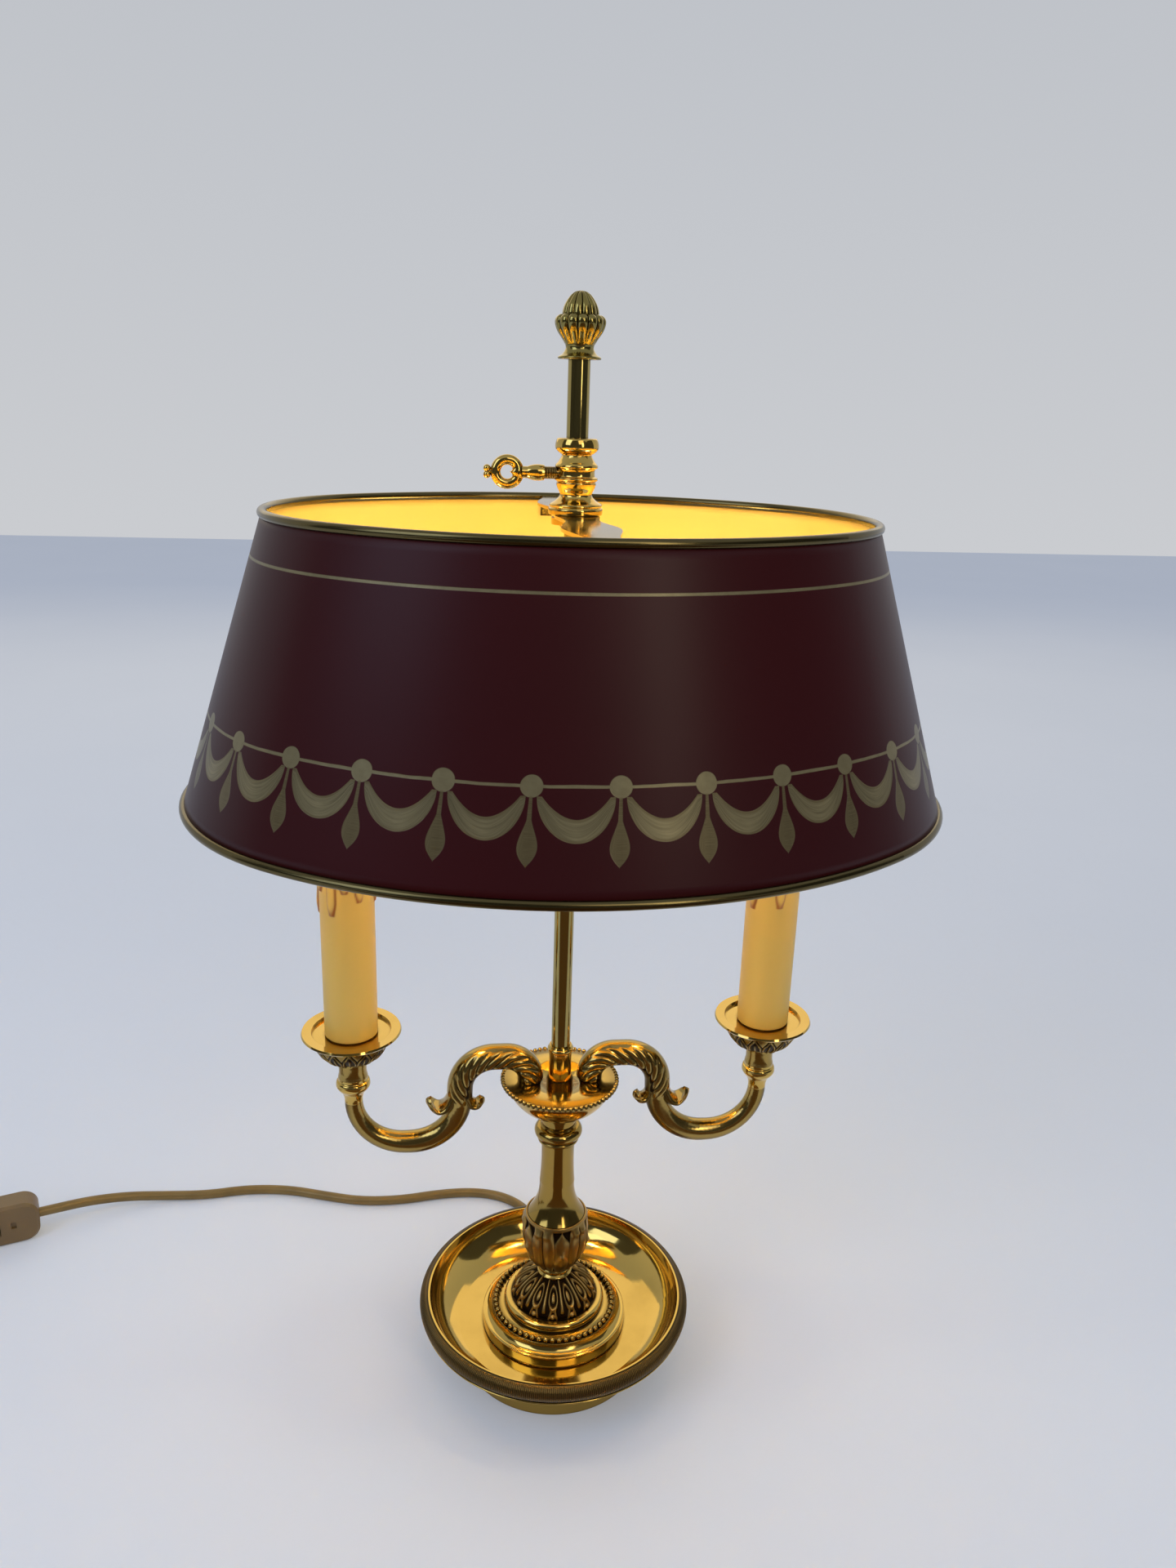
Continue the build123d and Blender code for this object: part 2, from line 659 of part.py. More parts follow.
def bulb_glass(side):
    """Blown glass: smooth outside, and a hollow that follows it in cones."""
    outer = bulb_outline(0)
    inner = bulb_outline(GLASS_T)
    hollow = [inner[0] @ 0, inner[0] @ 0.5, inner[0] @ 1, inner[1] @ 0.3, inner[1] @ 0.6, inner[1] @ 0.95]
    top = (0, hollow[-1].Y)
    axis_top = (0, (outer[1] @ 1).Y)
    face = make_face([*outer, Line(outer[1] @ 1, axis_top), Line(axis_top, top),
                      Polyline(top, *reversed(hollow)), Line(hollow[0], outer[0] @ 0)])
    return Pos(side * ARM_REACH, 0, 0) * revolve(Plane.XZ * face, Axis.Z)


# ------------------------------------------------------------------ shade carriage
def clamp_collar():
    """Turned collar that slides on the stem; its spigot passes through the bar of the shade."""
    z, top = BAR_TOP, COLLAR_TOP
    ring, waist, flange = COLLAR_RING_R, COLLAR_WAIST_R, COLLAR_FLANGE_R
    body = turned(
        (SPIGOT_R, z - BAR_T - LOCKNUT_H - 1.0),
        (SPIGOT_R, z),
        (flange, z),
        (flange, z + 4.4),
        (flange - 0.7, z + 5.0),
        ((flange - 3.5, z + 7.6), (waist, z + 11.2)),
        (ring - 0.1, SCREW_Z - 2.8),
        (ring, SCREW_Z - 1.8),
        ((ring - 0.7, SCREW_Z), (ring, SCREW_Z + 1.8)),
        (ring - 0.1, SCREW_Z + 2.8),
        (waist, top - 7.8),
        ((ring, top - 3.3), (ring - 1.4, top)),
    )
    tapped = Pos(-ring / 2 - ROD_R / 2, 0, SCREW_Z) * Rot(0, 90, 0)
    return body - tapped * Cylinder(SCREW_R + BORE_FIT, ring + 4)


def collar_locknut():
    top = BAR_TOP - BAR_T
    return ring_solid(LOCKNUT_R, SPIGOT_R + BORE_FIT, top - LOCKNUT_H, top)


def thumb_screw():
    """Clamp screw with a rounded hub, a pierced ring to turn it by and two beads at its end."""
    shank_end = SCREW_HEAD_X - HUB_SCREW_L
    shank = Rot(0, -90, 0) * rod_solid(SCREW_R, ROD_R + 0.1, shank_end)
    slim = HUB_SCREW_R - 1.0
    hub = Rot(0, -90, 0) * turned(
        (HUB_SCREW_R - 0.3, shank_end),
        ((HUB_SCREW_R, shank_end + HUB_SCREW_L * 0.4), (slim, SCREW_HEAD_X)),
        (slim, KEY_X - KEY_R + 1.0),
        hole=0,
    )
    wire = (KEY_R - KEY_HOLE_R) / 2
    key = Pos(-KEY_X, 0, 0) * Rot(90, 0, 0) * Torus(KEY_R - wire, wire)
    neck_end = SCREW_REACH - KNOB_R
    tip = Rot(0, -90, 0) * rod_solid(KNOB_R * 0.6, KEY_X + KEY_R - wire, neck_end)
    knobs = [Pos(-neck_end, 0, side * KNOB_R * 0.8) * Sphere(KNOB_R) for side in (-1, 1)]
    return Pos(0, 0, SCREW_Z) * (shank + hub + key + tip + knobs[0] + knobs[1])


def finial():
    z = FINIAL_Z
    flange = turned((FINIAL_FLANGE_R, z), (FINIAL_FLANGE_R, z + 0.9),
                    ((6.9, z + 2.6), (5.8, z + 5.2)), hole=0)
    levels = [(6.5, z + 5.2, 0.2), (8.4, z + 8.4, 0.8), (FINIAL_BULB_R - 0.2, z + 12.2, 1.4),
              (FINIAL_BULB_R, z + 14.6, 1.5), (FINIAL_BULB_R - 1.8, z + 17.0, 1.2),
              (FINIAL_BUD_R - 0.3, z + 18.0, 0.5)]
    bulb = lobed(levels, FINIAL_FLUTES)
    buds = [(FINIAL_BUD_R - 0.9, z + 18.0, 0.2), (FINIAL_BUD_R, z + 20.2, 0.9),
            (FINIAL_BUD_R - 3.0, z + 24.8, 0.8), (1.2, z + FINIAL_H, 0.1)]
    bud = lobed(buds, FINIAL_FLUTES)
    return flange + bulb + bud - rod_solid(BORE_R, z, z + FINIAL_BORE_H)


# ------------------------------------------------------------------ shade
def oval(half_length, half_depth, level):
    """A four-centred oval, as a wire of tangent arcs."""
    end_r = OVAL_END * half_depth ** 2 / half_length
    reach = half_length - end_r
    side_r = (reach ** 2 + half_depth ** 2 - end_r ** 2) / (2 * (half_depth - end_r))
    drop = side_r - half_depth
    scale = end_r / math.hypot(reach, drop)
    x, y = reach + reach * scale, drop * scale
    corners = [(x, -y), (x, y), (-x, y), (-x, -y)]
    crowns = [(half_length, 0), (0, half_depth), (-half_length, 0), (0, -half_depth)]
    arcs = [ThreePointArc((*corners[i], level), (*crowns[i], level), (*corners[(i + 1) % 4], level))
            for i in range(4)]
    return Wire(arcs)


def shade_cone(inset, rise=0.0):
    """The oval cone inside the shade's outer face by an inset, up to a rise above the top bead."""
    slope_a = (SHADE_FOOT_A - SHADE_TOP_A) / SHADE_H
    slope_b = (SHADE_FOOT_B - SHADE_TOP_B) / SHADE_H
    rims = []
    for level in (FOOT_BEAD_Z, TOP_BEAD_Z + rise):
        drop = TOP_BEAD_Z - level
        rims.append(oval(SHADE_TOP_A + slope_a * drop - inset, SHADE_TOP_B + slope_b * drop - inset, level))
    return Solid.make_loft(rims, ruled=True)


def shade_shell(holes):
    return (shade_cone(0) - shade_cone(SHADE_T)).cut(*holes)


def shade_bead(half_length, half_depth, level):
    """Rolled brass edge that grips the sheet."""
    path = oval(half_length - SHADE_T / 2, half_depth - SHADE_T / 2, level)
    return sweep((path ^ 0) * Circle(BEAD_R), path=path)


def shade_wall(near, far, low, high):
    """A layer that follows the inside of the shade, between two insets and two levels."""
    layer = shade_cone(near, rise=BEAD_LIFT) - shade_cone(far, rise=BEAD_LIFT)
    return layer & (Pos(0, 0, (low + high) / 2) * Box(BAR_TAB_W, 3 * SHADE_TOP_B, high - low))


def carrier_bar():
    """Flat brass bar with ogee edges across the top of the shade.

    Each end is bent down inside the rolled edge and stepped out to the wall."""
    rim = SHADE_T / 2 + BEAD_R + WALL_FIT
    wall = SHADE_T + WALL_FIT
    reach = SHADE_TOP_B - rim
    widths = [(0, BAR_SEAT_W), (0.12, BAR_SEAT_W * 0.98), (0.29, BAR_WAIST_W), (0.54, BAR_BELLY_W),
              (0.88, BAR_TAB_W * 1.04), (1.0, BAR_TAB_W)]
    right = [(wide / 2, share * reach) for share, wide in widths]
    outline = []
    for sx, sy in ((1, 1), (-1, 1), (-1, -1), (1, -1)):
        run = right if sx * sy > 0 else right[::-1]
        outline.append(Spline(*[(sx * x, sy * y) for x, y in run]))
    ends = [Line((BAR_TAB_W / 2, sy * reach), (-BAR_TAB_W / 2, sy * reach)) for sy in (1, -1)]
    flat = Pos(0, 0, BAR_TOP) * extrude(make_face(outline + ends), -BAR_T)
    strip = flat & shade_cone(rim, rise=BEAD_LIFT)
    step = BAR_TOP - BEAD_LIFT - BEAD_R - WALL_FIT
    bar = strip + shade_wall(rim, rim + BAR_T, step - BAR_T, BAR_TOP)
    bar += shade_wall(wall, rim + BAR_T, step - BAR_T, step)
    bar += shade_wall(wall, wall + BAR_T, BAR_TOP - BAR_TAB_H, step)
    return bar - rod_solid(SPIGOT_R + BORE_FIT, BAR_TOP - BAR_T, BAR_TOP)


def rivet_places():
    """Two rivets at each end of the bar, square to the wall of the shade."""
    level = BAR_TOP - BAR_TAB_H + 3.6
    slope = (SHADE_FOOT_B - SHADE_TOP_B) / SHADE_H
    wall_y = SHADE_TOP_B + slope * (TOP_BEAD_Z - level)
    lean = math.degrees(math.atan(slope))
    return [Pos(x, sy * wall_y, level) * Rot(-sy * (90 - lean), 0, 0)
            for sy in (-1, 1) for x in (-BAR_TAB_W / 4, BAR_TAB_W / 4)]


def rivet_holes():
    return [place * Cylinder(RIVET_R + BORE_FIT, 12) for place in rivet_places()]


def bar_rivets():
    """Rivets through the ends of the bar, filed flush in the wall of the shade under its paint."""
    deep = SHADE_T + WALL_FIT + BAR_T + WALL_FIT
    shank = Pos(0, 0, -(deep + WALL_FIT) / 2) * Cylinder(RIVET_R, deep - WALL_FIT)
    rivet = shank + Pos(0, 0, -deep - RIVET_HEAD_T / 2) * Cylinder(RIVET_R * 1.6, RIVET_HEAD_T)
    return [place * rivet for place in rivet_places()]


# ------------------------------------------------------------------ cord set
def cord_gland():
    """Bush in the back of the foot with a tapered strain relief outside."""
    bush = gland_hole(GLAND_R, BUSH_L)
    face_y = FOOT_R + BUSH_L / 2
    relief = Pos(0, face_y + RELIEF_L / 2, GLAND_Z) * Rot(-90, 0, 0) * Cone(
        RELIEF_R, RELIEF_TIP_R, RELIEF_L)
    return bush + relief


def relief_end():
    return FOOT_R + BUSH_L / 2 + RELIEF_L


def inner_lead():
    """The lead inside the foot and the tie rod, up to the hub."""
    lie = FELT_T + LEAD_R + 0.8
    start = FOOT_R - BUSH_L / 2
    points = [(0, start, GLAND_Z), (0, start - 6, GLAND_Z), (0, start - 16, lie), (0, 0, lie),
              (0, 0, HUB_Z + SHEET + NUT_H + 3.0)]
    path = FilletPolyline(*points, radius=[4 * LEAD_R, 4 * LEAD_R, LEAD_BEND])
    return sweep((path ^ 0) * Circle(LEAD_R), path=path)


def report_route(name, points, radii, solid):
    """Prints the bend radii of a cord and its volume against section times length."""
    path = FilletPolyline(*points, radius=radii)
    share = solid.volume / (math.pi * CORD_R ** 2 * path.length)
    shown = ", ".join(f"{radius:.0f}" for radius in radii)
    print(f"{name}: length {path.length:.0f}, radii {shown}, volume ratio {share:.4f}")


def route_radii(points):
    """Each corner's radius: 0.45 of the shorter run over the tangent of half the turn."""
    radii = []
    for before, corner, after in zip(points, points[1:], points[2:]):
        into = Vector(*corner) - Vector(*before)
        out = Vector(*after) - Vector(*corner)
        half = math.radians(into.get_angle(out)) / 2
        radii.append(0.45 * min(into.length, out.length) / math.tan(half))
    return radii


def cord_run(name, points):
    """A round cord along straight runs joined by tangent arcs."""
    radii = route_radii(points)
    path = FilletPolyline(*points, radius=radii)
    solid = sweep((path ^ 0) * Circle(CORD_R), path=path)
    report_route(name, points, radii, solid)
    return solid


LIE = CORD_R + FLOOR_LIFT
SWITCH_Z = SWITCH_W / 2


def switch_point(along):
    """A point on the switch's long axis, measured from its middle towards the lamp."""
    turn = math.radians(SWITCH_TURN)
    return (SWITCH_AT[0] + along * math.cos(turn), SWITCH_AT[1] + along * math.sin(turn), SWITCH_Z)


def supply_route():
    return [
        (0, relief_end(), GLAND_Z), (0, relief_end() + 12, GLAND_Z), (-2.5, 104, LIE),
        (-10, 120, LIE), (-24, 132, LIE), (-43, 137.5, LIE), (-66, 137, LIE), (-92, 132.5, LIE),
        (-119, 133.5, LIE), (-143, 141, LIE), (-168, 149.5, LIE), (-196, 152, LIE),
        (-222, 148, LIE), (-247, 148.5, 3.6), (-272, 146, 6.6), (-293, 138.5, 10.2),
        switch_point(SWITCH_L / 2 + 14), switch_point(SWITCH_L / 2),
    ]


def lead_route():
    entry_x = COIL_AT[0] - COIL_MEAN_R - (COIL_LANES - 1) * CORD_R
    start = switch_point(-SWITCH_L / 2)
    return [
        start, switch_point(-SWITCH_L / 2 - 12), (start[0] - 28, start[1] - 13, 8.4),
        (start[0] - 35, start[1] - 28, 4.6), (entry_x - 1.0, start[1] - 44, LIE),
        (entry_x, COIL_AT[1] + 18, LIE), (entry_x + 0.5, COIL_AT[1], LIE),
    ]


def tail_route():
    exit_x = COIL_AT[0] - COIL_MEAN_R - (COIL_LANES - 1) * CORD_R
    top = LIE + 2 * CORD_R
    return [
        (exit_x + 0.5, COIL_AT[1], top), (exit_x, COIL_AT[1] - 14, top),
        (exit_x - 0.6, PLUG_Y + 15, PLUG_H / 2), (exit_x - 0.6, PLUG_Y, PLUG_H / 2),
    ]


def cord_coil():
    """Outer shape of the wound-up rest of the cord."""
    half = COIL_LANES * CORD_R + 0.3
    height = COIL_LAYERS * 2 * CORD_R + 0.3
    section = Pos(COIL_MEAN_R, height / 2) * Rectangle(2 * half, height)
    section = chamfer(section.vertices(), CORD_R * 0.6)
    return Pos(*COIL_AT, 0) * revolve(Plane.XZ * section, Axis.Z)


def switch_place():
    return Pos(SWITCH_AT[0], SWITCH_AT[1], SWITCH_Z) * Rot(0, 0, SWITCH_TURN)


def switch_block():
    """The inline switch as one block, standing on its long edge, its face towards -Y."""
    outline = Plane.XZ * RectangleRounded(SWITCH_L, SWITCH_W, 9.5)
    block = extrude(outline, SWITCH_T / 2, both=True)
    sharp = block.edges().group_by(Axis.Y)
    return chamfer(sharp[0] + sharp[-1], 1.6)


def rocker_well(extra):
    """The pocket in the face in which the rocker tips."""
    return Pos(0, -SWITCH_T / 2, 0) * Box(ROCKER_L + 2 * extra, SWITCH_T * 0.9, ROCKER_W + extra)


def rocker_pivot(radius, length):
    """The rocker's trunnions, across the switch."""
    return Pos(0, ROCKER_DEEP - SWITCH_T / 2, 0) * Cylinder(radius, length)


def switch_front():
    half = switch_block() & Pos(0, -SWITCH_T / 2, 0) * Box(2 * SWITCH_L, SWITCH_T, 2 * SWITCH_W)
    latch = Pos(SWITCH_L / 2 - 15, -SWITCH_T / 2, 0) * Box(3.0, 3.0, 4.6)
    seat = rocker_pivot(PIVOT_R + BORE_FIT, ROCKER_W + 4 * PIVOT_R)
    return switch_place() * (half - rocker_well(ROCKER_GAP) - latch - seat)


def switch_back():
    half = switch_block() & Pos(0, SWITCH_T / 2, 0) * Box(2 * SWITCH_L, SWITCH_T, 2 * SWITCH_W)
    return switch_place() * half


def switch_rocker():
    """A shallow V-shaped rocker, at rest pressed in at the end that switches on."""
    face = -SWITCH_T / 2 - ROCKER_PROUD
    deep = -SWITCH_T / 2 + 3.6
    half = ROCKER_L / 2
    side = make_face(Polyline((-half, face + 0.6), (0, face + 1.9), (half, face + 0.6),
                              (half - 0.8, deep - 1.6), (0, deep), (-half + 0.8, deep - 1.6),
                              close=True))
    rocker = extrude(side, ROCKER_W / 2, both=True) + rocker_pivot(PIVOT_R, ROCKER_W + 3.6 * PIVOT_R)
    pivot = Pos(0, ROCKER_DEEP - SWITCH_T / 2, 0)
    return switch_place() * pivot * Rot(0, 0, ROCKER_TILT) * pivot.inverse() * rocker


def plug_body():
    """Flat two-pin plug lying on the table, its pins pointing along -Y."""
    x = tail_route()[-1][0]
    z = PLUG_H / 2
    front = PLUG_Y - PLUG_TAIL_L - PLUG_L
    block = Pos(x, front + PLUG_L / 2, z) * Box(PLUG_W, PLUG_L, PLUG_H)
    block = fillet(block.edges().filter_by(Axis.Y), 5.0)
    rear = block.faces().sort_by(Axis.Y)[-1].edges()
    block = chamfer(rear, 3.0)
    tail = Pos(x, PLUG_Y - PLUG_TAIL_L / 2, z) * Rot(-90, 0, 0) * Cone(
        RELIEF_R + 0.8, RELIEF_TIP_R, PLUG_TAIL_L)
    return block + tail


def plug_pins():
    x = tail_route()[-1][0]
    front = PLUG_Y - PLUG_TAIL_L - PLUG_L
    pin = Rot(90, 0, 0) * Cylinder(PLUG_PIN_R, PLUG_PIN_L)
    return [Pos(x + side * PLUG_PITCH / 2, front - PLUG_PIN_L / 2, PLUG_H / 2) * pin
            for side in (-1, 1)]


# ------------------------------------------------------------------ write every node
save("base_felt", base_felt())
save("foot_ring", foot_ring())
save("base_weight", base_weight())
save("base_dish", base_dish())
save("rim_band", rim_band())
save("base_washer", base_washer())
save("clamp_nuts", *clamp_nuts())
save("tie_rod", tie_rod())
save("pedestal_ring", pedestal_ring())
save("leaf_dome", leaf_dome())
save("throat_ring", throat_ring())
save("leaf_cup", leaf_cup())
save("column_neck", column_neck())
save("column_capital", column_capital())
save("hub_bowl", hub_bowl())
save("hub_plate", hub_plate())
save("stem_ferrule", stem_ferrule())
save("stem_rod", stem_rod())
save("arm_nuts", *arm_nuts())
save("finial", finial())

for side, name in ((-1, "left"), (1, "right")):
    save(f"arm_{name}", arm(side))
    save(f"socket_cup_{name}", socket_cup(side))
    save(f"drip_pan_{name}", drip_pan(side))
    save(f"cup_nipple_{name}", cup_nipple(side))
    save(f"lampholder_{name}", lampholder(side))
    save(f"candle_sleeve_{name}", candle_sleeve(side))
    save(f"bulb_cap_{name}", bulb_cap(side))
    save(f"bulb_glass_{name}", bulb_glass(side))

save("clamp_collar", clamp_collar())
save("collar_locknut", collar_locknut())
save("thumb_screw", thumb_screw())
holes = rivet_holes()
save("carrier_bar", carrier_bar().cut(*holes))
save("bar_rivets", *bar_rivets())
save("shade_shell", shade_shell(holes))
save("shade_top_bead", shade_bead(SHADE_TOP_A, SHADE_TOP_B, TOP_BEAD_Z))
save("shade_foot_bead", shade_bead(SHADE_FOOT_A, SHADE_FOOT_B, FOOT_BEAD_Z))

save("inner_lead", inner_lead())
save("cord_gland", cord_gland())
save("cord_supply", cord_run("cord_supply", supply_route()))
save("cord_lead", cord_run("cord_lead", lead_route()))
save("cord_coil", cord_coil())
save("cord_tail", cord_run("cord_tail", tail_route()))
save("switch_front", switch_front())
save("switch_back", switch_back())
save("switch_rocker", switch_rocker())
save("plug_body", plug_body())
save("plug_pins", *plug_pins())
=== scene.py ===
import bpy
import math
import numpy as np
from mathutils import Matrix, Vector


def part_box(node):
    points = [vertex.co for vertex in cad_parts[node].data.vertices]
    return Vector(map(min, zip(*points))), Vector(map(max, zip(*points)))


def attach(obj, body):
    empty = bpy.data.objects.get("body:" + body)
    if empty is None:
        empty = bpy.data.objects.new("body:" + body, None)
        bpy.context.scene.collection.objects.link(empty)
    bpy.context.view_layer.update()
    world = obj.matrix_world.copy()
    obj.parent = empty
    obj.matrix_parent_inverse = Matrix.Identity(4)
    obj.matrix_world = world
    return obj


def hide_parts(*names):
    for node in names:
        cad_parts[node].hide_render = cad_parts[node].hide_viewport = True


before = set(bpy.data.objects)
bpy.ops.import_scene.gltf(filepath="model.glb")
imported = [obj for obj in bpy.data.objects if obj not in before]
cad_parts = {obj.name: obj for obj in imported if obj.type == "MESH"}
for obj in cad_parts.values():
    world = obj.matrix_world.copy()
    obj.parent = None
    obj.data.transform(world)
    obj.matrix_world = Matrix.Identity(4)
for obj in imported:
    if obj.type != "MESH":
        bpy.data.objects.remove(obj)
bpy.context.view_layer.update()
MM = 0.001


def add(name, data):
    """A new object in the scene."""
    thing = bpy.data.objects.new(name, data)
    bpy.context.scene.collection.objects.link(thing)
    return thing


# --- camera
# A hand-held view from above: turned a little to the left of the lamp's front, and rolled.
FOCAL_PX = 1442.2
PHOTO_WIDTH_PX = 1440
SENSOR_WIDTH = 36
CAMERA_DISTANCE = 553.1 * MM
CAMERA_HEIGHT = 521.9 * MM
AZIMUTH = -0.11
PAN = -0.018
PITCH = 0.3129
ROLL = 0.033


def make_camera():
    data = bpy.data.cameras.new("camera")
    data.sensor_fit = "HORIZONTAL"
    data.sensor_width = SENSOR_WIDTH
    data.lens = SENSOR_WIDTH * FOCAL_PX / PHOTO_WIDTH_PX
    data.clip_start = 0.01
    camera = add("camera", data)
    forward = Vector((0, math.cos(PITCH), -math.sin(PITCH)))
    up = Vector((0, math.sin(PITCH), math.cos(PITCH)))
    right = Vector((1, 0, 0))
    rolled_right = right * math.cos(ROLL) + up * math.sin(ROLL)
    rolled_up = up * math.cos(ROLL) - right * math.sin(ROLL)
    axes = Matrix((rolled_right, rolled_up, -forward)).transposed().to_4x4()
    place = Matrix.Translation((0, -CAMERA_DISTANCE, CAMERA_HEIGHT))
    camera.matrix_world = Matrix.Rotation(AZIMUTH, 4, "Z") @ place @ Matrix.Rotation(PAN, 4, "Z") @ axes
    bpy.context.scene.camera = camera


# --- node trees that read as arithmetic
def operation(kind, *fixed):
    """A method that adds a math node of one kind."""
    return lambda self, *others: self.math(kind, *fixed, *others)


class Val:
    """A number in a node tree."""

    def __init__(self, tree, socket):
        self.tree = tree
        self.socket = socket

    def math(self, kind, *others, clamp=False):
        node = self.tree.nodes.new("ShaderNodeMath")
        node.operation = kind
        node.use_clamp = clamp
        for i, value in enumerate((self, *others)):
            if isinstance(value, Val):
                self.tree.links.new(value.socket, node.inputs[i])
            else:
                node.inputs[i].default_value = value
        return Val(self.tree, node.outputs[0])

    __add__ = operation("ADD")
    __sub__ = operation("SUBTRACT")
    __mul__ = operation("MULTIPLY")
    __truediv__ = operation("DIVIDE")
    __neg__ = operation("MULTIPLY", -1.0)
    power = operation("POWER")
    size = operation("ABSOLUTE")
    least = operation("MINIMUM")
    most = operation("MAXIMUM")
    sine = operation("SINE")

    def clamped(self):
        return self.math("MULTIPLY", 1.0, clamp=True)

    def edge(self, softness):
        """1 where the value is above zero, 0 below, with a soft edge."""
        return (self / softness + 0.5).clamped()


class Paint:
    """A material under construction."""

    def __init__(self, name, slot=None):
        self.material = bpy.data.materials.new(name)
        self.material["slot"] = slot or name
        self.material.use_nodes = True
        self.tree = self.material.node_tree
        self.shader = self.tree.nodes["Principled BSDF"]

    def node(self, kind, **inputs):
        node = self.tree.nodes.new("ShaderNode" + kind)
        for key, value in inputs.items():
            self.put(node, key, value)
        return node

    def put(self, node, key, value):
        socket = node.inputs[key]
        if isinstance(value, Val):
            self.tree.links.new(value.socket, socket)
        elif isinstance(value, bpy.types.NodeSocket):
            self.tree.links.new(value, socket)
        else:
            socket.default_value = value

    def set(self, **inputs):
        for key, value in inputs.items():
            self.put(self.shader, key.replace("_", " "), value)

    def place(self):
        """Coordinates on the piece itself, in metres."""
        return self.node("TexCoord").outputs["Object"]

    def noise(self, scale, detail=3.0, vector=None, distortion=0.0):
        node = self.node("TexNoise", Vector=vector or self.place(), Scale=scale, Detail=detail,
                         Distortion=distortion)
        return Val(self.tree, node.outputs["Fac"])

    def stretched(self, x, y, z):
        """The piece's coordinates, stretched."""
        return self.node("Mapping", Scale=(x, y, z), Vector=self.place()).outputs["Vector"]

    def attribute(self, name):
        node = self.node("Attribute")
        node.attribute_name = name
        return Val(self.tree, node.outputs["Fac"])

    def mix(self, share, low, high):
        node = self.node("Mix")
        node.data_type = "RGBA"
        self.put(node, 0, share)
        self.put(node, 6, low)
        self.put(node, 7, high)
        return node.outputs[2]

    def bump(self, height, distance, strength):
        node = self.node("Bump", Strength=strength, Distance=distance, Height=height)
        self.set(Normal=node.outputs[0])


def srgb(red, green, blue):
    """A colour as it shows on a screen, 0 to 255, for a shader."""
    linear = [((c / 255 + 0.055) / 1.055) ** 2.4 if c > 10 else c / 255 / 12.92 for c in (red, green, blue)]
    return (*linear, 1.0)


# --- materials
def brass(name, colour, shade, roughness, grime=0.35, shade_and_patina_colour=srgb(58, 42, 20), relief=False, slot=None):
    """Lacquered brass with painted shade in its corners; where it has a relief, the piece's own darkening is
    added: patina in carved recesses, painted shade under pearls and along the arms.
    """
    paint = Paint(name, slot)
    cloud = paint.noise(38.0, 4.0)
    fine = paint.noise(420.0, 2.0)
    tone = paint.mix((cloud - 0.35) * grime * 1.6, colour, shade)
    # painted shade: an occlusion node darkens corners and creases where shade falls
    corner = paint.node("AmbientOcclusion", Distance=0.0022)
    corner.samples = 6
    corner_shade_and_patina = (-Val(paint.tree, corner.outputs["AO"]) + 0.82) * 1.5
    if relief:
        corner_shade_and_patina = corner_shade_and_patina.most(paint.attribute("stain_and_shade") * 1.2 + (cloud - 0.5) * 0.4)
    corner_shade_and_patina = corner_shade_and_patina.clamped()
    paint.set(Base_Color=paint.mix(corner_shade_and_patina, tone, shade_and_patina_colour), Metallic=1.0,
              Roughness=cloud * 0.10 + fine * 0.05 + corner_shade_and_patina * 0.25 + (roughness - 0.075))
    paint.bump(fine, 0.00004, 0.2)
    return paint.material


def reeded_brass():
    """The dark, worn band round the dish."""
    paint = Paint("dark_brass")
    cloud = paint.noise(24.0, 4.0)
    stain_and_shade = paint.attribute("stain_and_shade")
    worn = paint.mix((cloud - 0.4) * 2.2, srgb(122, 94, 50), srgb(90, 78, 46))
    paint.set(Base_Color=paint.mix(stain_and_shade * 0.8, worn, srgb(46, 32, 18)), Metallic=1.0,
              Roughness=cloud * 0.2 + 0.24)
    return paint.material


# The shade's gilding, in millimetres on the painted skin. Down is counted from the top for the gilt
# line, and from the line that the medallions hang on for the rest.
GILT_SOFT = 0.35
STRIPE_DOWN = 18.9
STRIPE_HALF = 0.6
STRING_HALF = 0.62
MEDALLION_R = 4.45
SWAG_GAP = 2.1          # from a medallion's middle to the end of the swag's lower curve
SWAG_UPPER_GAP = 4.0    # the same for its upper curve
SWAG_UPPER = (8.7, 3.9)     # how far the upper curve sags, and how far down it starts
SWAG_LOWER = (17.2, 4.4)    # the same for the lower curve
DROP_LEAN = 0.03        # how far the drop leans aside for each millimetre down
DROP_TOP = 4.0
DROP_BULGE_TOP = 8.0
DROP_BULGE_L = 23.2
DROP_HALF = 3.7
DROP_FOOT = 31.4
NECK_HALF = 0.45
NECK_FLARE = 0.03       # how much wider it is for each millimetre down
NECK_FADE = (22.0, 6.0)     # how far down the neck fades out, and over what length


